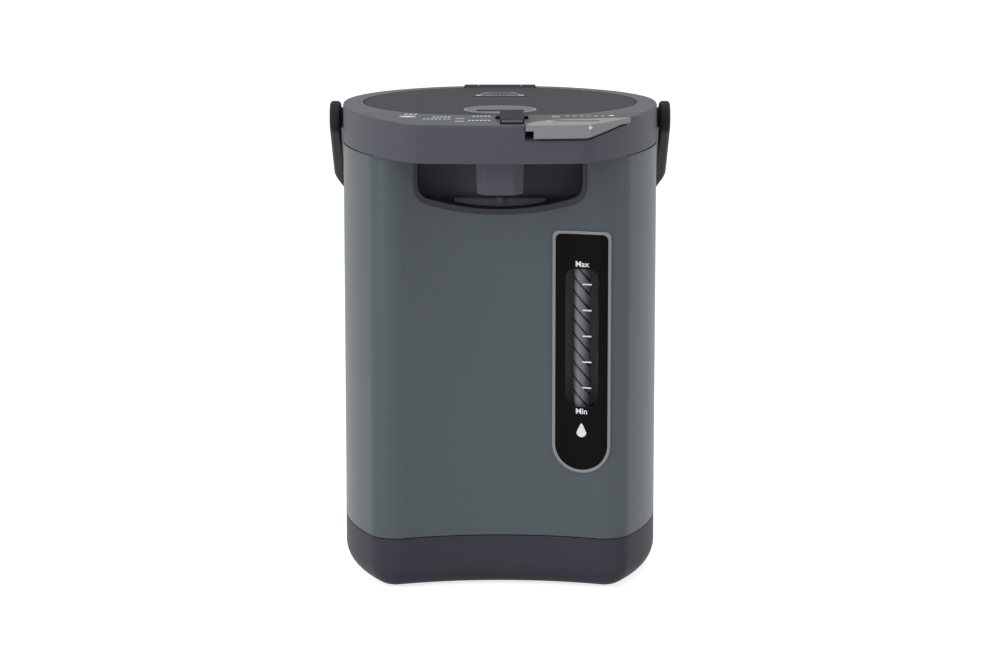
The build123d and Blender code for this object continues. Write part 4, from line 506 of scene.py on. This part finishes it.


# painted light: the slider's front is painted paler than its top, as the front face of the same navy
# plastic catches more light
sliderLightLook = {"size": (13.6 * mm, 1.5 * mm), "fall": 3.3 * mm, "lift": 0.1 * mm}
sliderLow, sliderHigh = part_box("lock_slider")
litFacePiece = bmesh.new()
addBar(litFacePiece, (0, 0), sliderLightLook["size"], cuts=4)
spot = ((sliderLow.x + sliderHigh.x) / 2, 0, sliderHigh.z - sliderLightLook["fall"])
mark = frontMark(litFacePiece, "sliderFrontLight", "lock_slider", sliderLightLook["lift"], "sliderLitFace", "slider", spot)


# the lever carries a dark line of painted shade where a groove runs across its top, a white dot on its top
# and an arrow on its front
leverMarks = {"lift": 0.1 * mm, "line": (49.1 * mm, -107.8 * mm), "lineSize": (30 * mm, 3.6 * mm),
              "dot": (31.5 * mm, -111.8 * mm), "dotRadius": 1.3 * mm,
              "arrowX": 57.5 * mm, "arrowFall": 1.7 * mm, "arrowStem": (0.9 * mm, 2.2 * mm),
              "arrowHead": (1.8 * mm, 0.7 * mm), "arrowSpread": 0.55 * mm, "arrowTurn": math.radians(45)}
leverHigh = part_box("dispense_lever")[1].z

# a dark band of painted shade stands for the groove across the lever's top
leverGrooveShade = bmesh.new()
addBar(leverGrooveShade, leverMarks["line"], leverMarks["lineSize"], cuts=4)
mark = topMark(leverGrooveShade, "leverGrooveShade", "dispense_lever", leverMarks["lift"], "grooveShadePaint", "lever")

leverDot = bmesh.new()
addDisc(leverDot, leverMarks["dot"], leverMarks["dotRadius"])
mark = topMark(leverDot, "leverDot", "dispense_lever", leverMarks["lift"], "markWhite", "lever")

leverArrow = bmesh.new()
addBar(leverArrow, (0, 0), leverMarks["arrowStem"])
tipY = leverMarks["arrowSpread"] - leverMarks["arrowStem"][1] / 2
for side in (-1, 1):
    tip = (side * leverMarks["arrowSpread"], tipY)
    addBar(leverArrow, tip, leverMarks["arrowHead"], side * leverMarks["arrowTurn"])
spot = (leverMarks["arrowX"], 0, leverHigh - leverMarks["arrowFall"])
mark = frontMark(leverArrow, "leverArrow", "dispense_lever", leverMarks["lift"], "markWhite", "lever", spot)


# a silver line frames the steam vent, with a bright tab at each front corner
ventLook = {"lineWidth": 1.3 * mm, "frontLine": 2.2 * mm, "backShare": 0.46, "lift": 0.15 * mm,
            "tab": (3.6 * mm, 3.2 * mm), "tabInset": 0.6 * mm}
ventLow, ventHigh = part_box("vent_cap")
ventFront = ventHigh.x - ventLook["lineWidth"]
ventBack = ventFront * ventLook["backShare"]
ventFrame = bmesh.new()
addBar(ventFrame, (0, ventLow.y + ventLook["frontLine"]), (2 * ventFront, ventLook["frontLine"]), cuts=4)
sideRun = ventHigh.y - ventLow.y - 2 * ventLook["lineWidth"]
sideLean = math.atan2(ventFront - ventBack, sideRun)
sideLength = sideRun / math.cos(sideLean)
for side in (-1, 1):
    middle = (side * (ventFront + ventBack) / 2, (ventLow.y + ventHigh.y) / 2)
    addBar(ventFrame, middle, (ventLook["lineWidth"], sideLength), side * sideLean, 4)
mark = topMark(ventFrame, "ventFrame", "vent_cap", ventLook["lift"], "silverPaint", "lid")

ventTabs = bmesh.new()
tabX = ventFront - ventLook["tab"][0] / 2 - ventLook["tabInset"]
tabY = ventLow.y + ventLook["tab"][1] / 2 + ventLook["tabInset"]
for side in (-1, 1):
    addBar(ventTabs, (side * tabX, tabY), ventLook["tab"])
mark = topMark(ventTabs, "ventTabs", "vent_cap", 2 * ventLook["lift"], "markWhite", "lid")


# the finger cup's rim is a paler ring
rimLook = {"width": 1.3 * mm, "inset": 0.35 * mm, "segments": 96, "lift": 0.1 * mm}
fingerLow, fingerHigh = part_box("finger_cup")
fingerRadius = (fingerHigh.x - fingerLow.x) / 2
rimRing = bmesh.new()
addRing(rimRing, (0, 0), fingerRadius - rimLook["inset"], rimLook["width"], rimLook["segments"])
bmesh.ops.translate(rimRing, verts=rimRing.verts, vec=(0, (fingerLow.y + fingerHigh.y) / 2, 0))
mark = topMark(rimRing, "fingerRim", "finger_cup", rimLook["lift"], "bezelSilver", "lid")
print("slider, lever, vent and finger cup detailed")


# a dark line of painted shade runs around the casing at each end, where it meets the base and the collar
seamLook = {"low": 0.7 * mm, "high": 1.7 * mm, "inside": 0.1 * mm, "lift": 0.08 * mm, "steps": 360,
            "reach": 0.2, "limit": 0.15}
shellLow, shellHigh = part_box("outer_shell")
shellMiddle = Vector((0, shellHigh.y - (shellHigh.x - shellLow.x) / 2, 0))


def seamBand(name, low, height):
    # a ring cast inwards; points that only find the inside of the bay are dropped
    band = bmesh.new()
    bmesh.ops.create_circle(band, cap_ends=False, radius=1, segments=seamLook["steps"])
    grown = bmesh.ops.extrude_edge_only(band, edges=list(band.edges))["geom"]
    upper = [g for g in grown if isinstance(g, bmesh.types.BMVert)]
    bmesh.ops.translate(band, verts=upper, vec=(0, 0, height))
    surface = surfaceOf("outer_shell")
    stray = []
    for vert in band.verts:
        way = Vector((-vert.co.x, -vert.co.y, 0)).normalized()
        start = shellMiddle - way * seamLook["reach"] + Vector((0, 0, low + height / 2))
        spot, _, _, distance = surface.ray_cast(start, way)
        if spot is None or distance > seamLook["limit"]:
            stray.append(vert)
            continue
        vert.co = spot - way * seamLook["lift"] + Vector((0, 0, vert.co.z - height / 2))
    bmesh.ops.delete(band, geom=stray, context="VERTS")
    bmesh.ops.recalc_face_normals(band, faces=band.faces)
    piece = meshPiece(band, name, "seamShadow")
    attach(piece, "pot")


seamBand("lowerSeam", shellLow.z + seamLook["inside"], seamLook["low"])
seamBand("upperSeam", shellHigh.z - seamLook["inside"] - seamLook["high"], seamLook["high"])
print("seams drawn")


# floor, world and lamps
def whiteForView(tree):
    # white to the camera and in reflections, its own colour to the light
    path = tree.nodes.new("ShaderNodeLightPath").outputs
    seen = maths(tree, "MAXIMUM", path["Is Camera Ray"], path["Is Glossy Ray"])
    return maths(tree, "MAXIMUM", seen, path["Is Transmission Ray"])


worldLook = {"colour": (0.9, 0.92, 0.95), "strength": 0.4}
world = bpy.data.worlds.new("studio")
bpy.context.scene.world = world
world.use_nodes = True
sky = world.node_tree
for node in list(sky.nodes):
    sky.nodes.remove(node)
fill = sky.nodes.new("ShaderNodeBackground")
fill.inputs["Color"].default_value = (*worldLook["colour"], 1)
fill.inputs["Strength"].default_value = worldLook["strength"]
backdrop = sky.nodes.new("ShaderNodeBackground")
backdrop.inputs["Color"].default_value = (1, 1, 1, 1)
backdrop.inputs["Strength"].default_value = 1
chooser = sky.nodes.new("ShaderNodeMixShader")
skyOut = sky.nodes.new("ShaderNodeOutputWorld")
sky.links.new(whiteForView(sky), chooser.inputs["Fac"])
sky.links.new(fill.outputs["Background"], chooser.inputs[1])
sky.links.new(backdrop.outputs["Background"], chooser.inputs[2])
sky.links.new(chooser.outputs["Shader"], skyOut.inputs["Surface"])

floorLook = {"half": 6.0, "colour": (0.86, 0.86, 0.86), "rough": 0.9, "specular": 0.1, "glow": 0.76}
floorMesh = bmesh.new()
bmesh.ops.create_grid(floorMesh, x_segments=1, y_segments=1, size=floorLook["half"])
floorData = bpy.data.meshes.new("floor")
floorMesh.to_mesh(floorData)
floorMesh.free()
floor = bpy.data.objects.new("floor", floorData)
bpy.context.scene.collection.objects.link(floor)
floorMaterial, floorTree, floorShader = startMaterial("floorWhite")
floorShader.inputs["Base Color"].default_value = (*floorLook["colour"], 1)
floorShader.inputs["Roughness"].default_value = floorLook["rough"]
floorShader.inputs["Specular IOR Level"].default_value = floorLook["specular"]
glow = floorTree.nodes.new("ShaderNodeEmission")
glow.inputs["Color"].default_value = (1, 1, 1, 1)
glowShare = maths(floorTree, "MULTIPLY", whiteForView(floorTree), floorLook["glow"])
floorTree.links.new(glowShare, glow.inputs["Strength"])
floorSum = floorTree.nodes.new("ShaderNodeAddShader")
floorTree.links.new(floorShader.outputs["BSDF"], floorSum.inputs[0])
floorTree.links.new(glow.outputs["Emission"], floorSum.inputs[1])
floorTree.links.new(floorSum.outputs["Shader"], floorTree.nodes["Material Output"].inputs["Surface"])
floorData.materials.append(floorMaterial)

lamps = {
    "leftBank": {"place": (-1.5, -1.2, 0.8), "size": (0.5, 1.6), "power": 16},
    "rightBank": {"place": (1.7, -0.9, 0.7), "size": (0.5, 1.5), "power": 6},
    "topBank": {"place": (0.1, -0.3, 1.9), "size": (1.6, 1.2), "power": 10},
}
lampAim = Vector((0, 0, 0.16))
for name, lamp in lamps.items():
    light = bpy.data.lights.new(name, "AREA")
    light.shape = "RECTANGLE"
    light.size, light.size_y = lamp["size"]
    light.energy = lamp["power"]
    holder = bpy.data.objects.new(name, light)
    holder.location = lamp["place"]
    holder.rotation_euler = (lampAim - Vector(lamp["place"])).to_track_quat("-Z", "Y").to_euler()
    bpy.context.scene.collection.objects.link(holder)

cameraLook = {"place": (0, -2.2255, 0.5557), "aim": (0, -0.003, 0.1598), "lens": 119.3, "sensor": 36}
camera = bpy.data.objects.new("camera", bpy.data.cameras.new("camera"))
camera.data.lens = cameraLook["lens"]
camera.data.sensor_width = cameraLook["sensor"]
camera.location = cameraLook["place"]
sight = Vector(cameraLook["aim"]) - Vector(cameraLook["place"])
camera.rotation_euler = sight.to_track_quat("-Z", "Y").to_euler()
bpy.context.scene.collection.objects.link(camera)
bpy.context.scene.camera = camera
bpy.context.scene.view_settings.view_transform = "Standard"
print("floor, lamps and camera placed")
